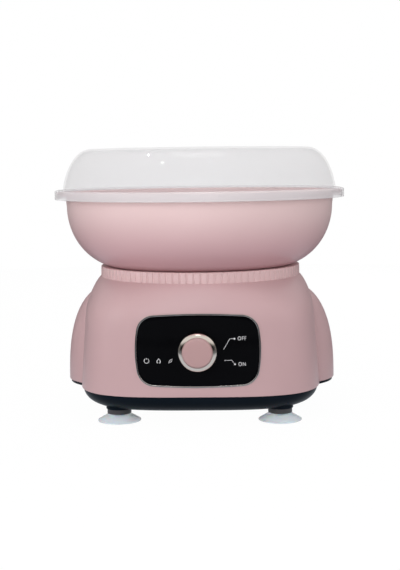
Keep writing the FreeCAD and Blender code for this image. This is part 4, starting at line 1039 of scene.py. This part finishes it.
def makeWorld():
    # white to the eye and through the lid; soft light from above and behind, dim from the front
    s = stageLook
    world = bpy.data.worlds.new("studio")
    bpy.context.scene.world = world
    world.use_nodes = True
    nodes, links = world.node_tree.nodes, world.node_tree.links
    background = nodes["Background"]
    place = nodes.new("ShaderNodeTexCoord")
    split = nodes.new("ShaderNodeSeparateXYZ")
    links.new(place.outputs["Generated"], split.inputs[0])
    behind = remapped(nodes, links, split.outputs["Y"], s["frontEdge"], s["backEdge"], 0,
                      s["sideGlow"], smooth=True)
    above = remapped(nodes, links, split.outputs["Z"], s["skyLow"], s["skyHigh"], smooth=True)
    lit = calculated(nodes, links, "MAXIMUM", behind, above)
    level = remapped(nodes, links, lit, 0, 1, s["frontDark"], s["skyGlow"])
    seen, mirrored = raysOf(nodes, links)
    unseen = mixed(nodes, links, "FLOAT", mirrored, s["ambient"], level)
    strength = mixed(nodes, links, "FLOAT", seen, unseen, 1.0)
    links.new(strength, background.inputs["Strength"])
    background.inputs["Color"].default_value = (1, 1, 1, 1)


# round lamps with their places in metres; all point at one height above the origin
lampAim = 0.13
lamps = {
    "frontLamp": {"place": (-0.10, -0.68, 0.30), "size": 0.40, "power": 1.8},
    "leftLamp": {"place": (-1.20, -0.62, 0.42), "size": 0.7, "power": 5.6},
    "rightLamp": {"place": (1.20, -0.56, 0.42), "size": 0.7, "power": 5.2},
    "topLamp": {"place": (0.0, -0.15, 1.35), "size": 0.6, "power": 6.0, "mirrored": True},
    "backLamp": {"place": (0.35, 1.25, 0.75), "size": 0.9, "power": 8.0},
}
# small ceiling lamps that light the lid alone and show in it as dots
sparks = {
    "size": 0.045, "power": 2.0,
    "places": {"sparkLeft": (-0.50, 0.11, 1.34), "sparkNearLeft": (-0.50, -0.59, 1.25),
               "sparkMiddle": (0.17, -0.51, 1.37), "sparkRight": (0.63, -0.45, 1.24)},
}


def makeLamp(name, place, size, power, mirrored=False):
    clearSelection()
    bpy.ops.object.light_add(type="AREA", location=place)
    lamp = bpy.context.object
    lamp.name = name
    lamp.data.shape = "DISK"
    lamp.data.size = size
    lamp.data.energy = power
    aim = Vector((0, 0, lampAim)) - Vector(place)
    lamp.rotation_euler = aim.to_track_quat("-Z", "Y").to_euler()
    lamp.visible_camera = False
    lamp.visible_transmission = False
    lamp.visible_glossy = mirrored
    return lamp


def makeLamps():
    for name, look in lamps.items():
        makeLamp(name, **look)
    sparkled = bpy.data.collections.new("sparkled")
    sparkled.objects.link(lid)
    for name, place in sparks["places"].items():
        spark = makeLamp(name, place, sparks["size"], sparks["power"], mirrored=True)
        spark.visible_diffuse = False
        spark.light_linking.receiver_collection = sparkled


cameraLook = {"distance": 1.1339, "height": 0.2435, "round": 1.70, "pan": 0.024,
              "pitch": 6.144, "roll": -0.706, "lens": 70.97, "sensor": 36}


def makeCamera():
    s = cameraLook
    around = math.radians(s["round"])
    clearSelection()
    bpy.ops.object.camera_add(location=(s["distance"] * math.sin(around),
                                        -s["distance"] * math.cos(around), s["height"]))
    camera = bpy.context.object
    camera.name = "studioCamera"
    yaw = around + math.radians(s["pan"])
    aim = Euler((math.radians(90 - s["pitch"]), 0, yaw)).to_matrix()
    camera.rotation_euler = (aim @ Matrix.Rotation(math.radians(s["roll"]), 3, "Z")).to_euler()
    camera.data.lens = s["lens"]
    camera.data.sensor_width = s["sensor"]
    bpy.context.scene.camera = camera


makeFloor()
makeWorld()
makeLamps()
makeCamera()
bpy.context.scene.view_settings.view_transform = "Standard"
print("stage set")
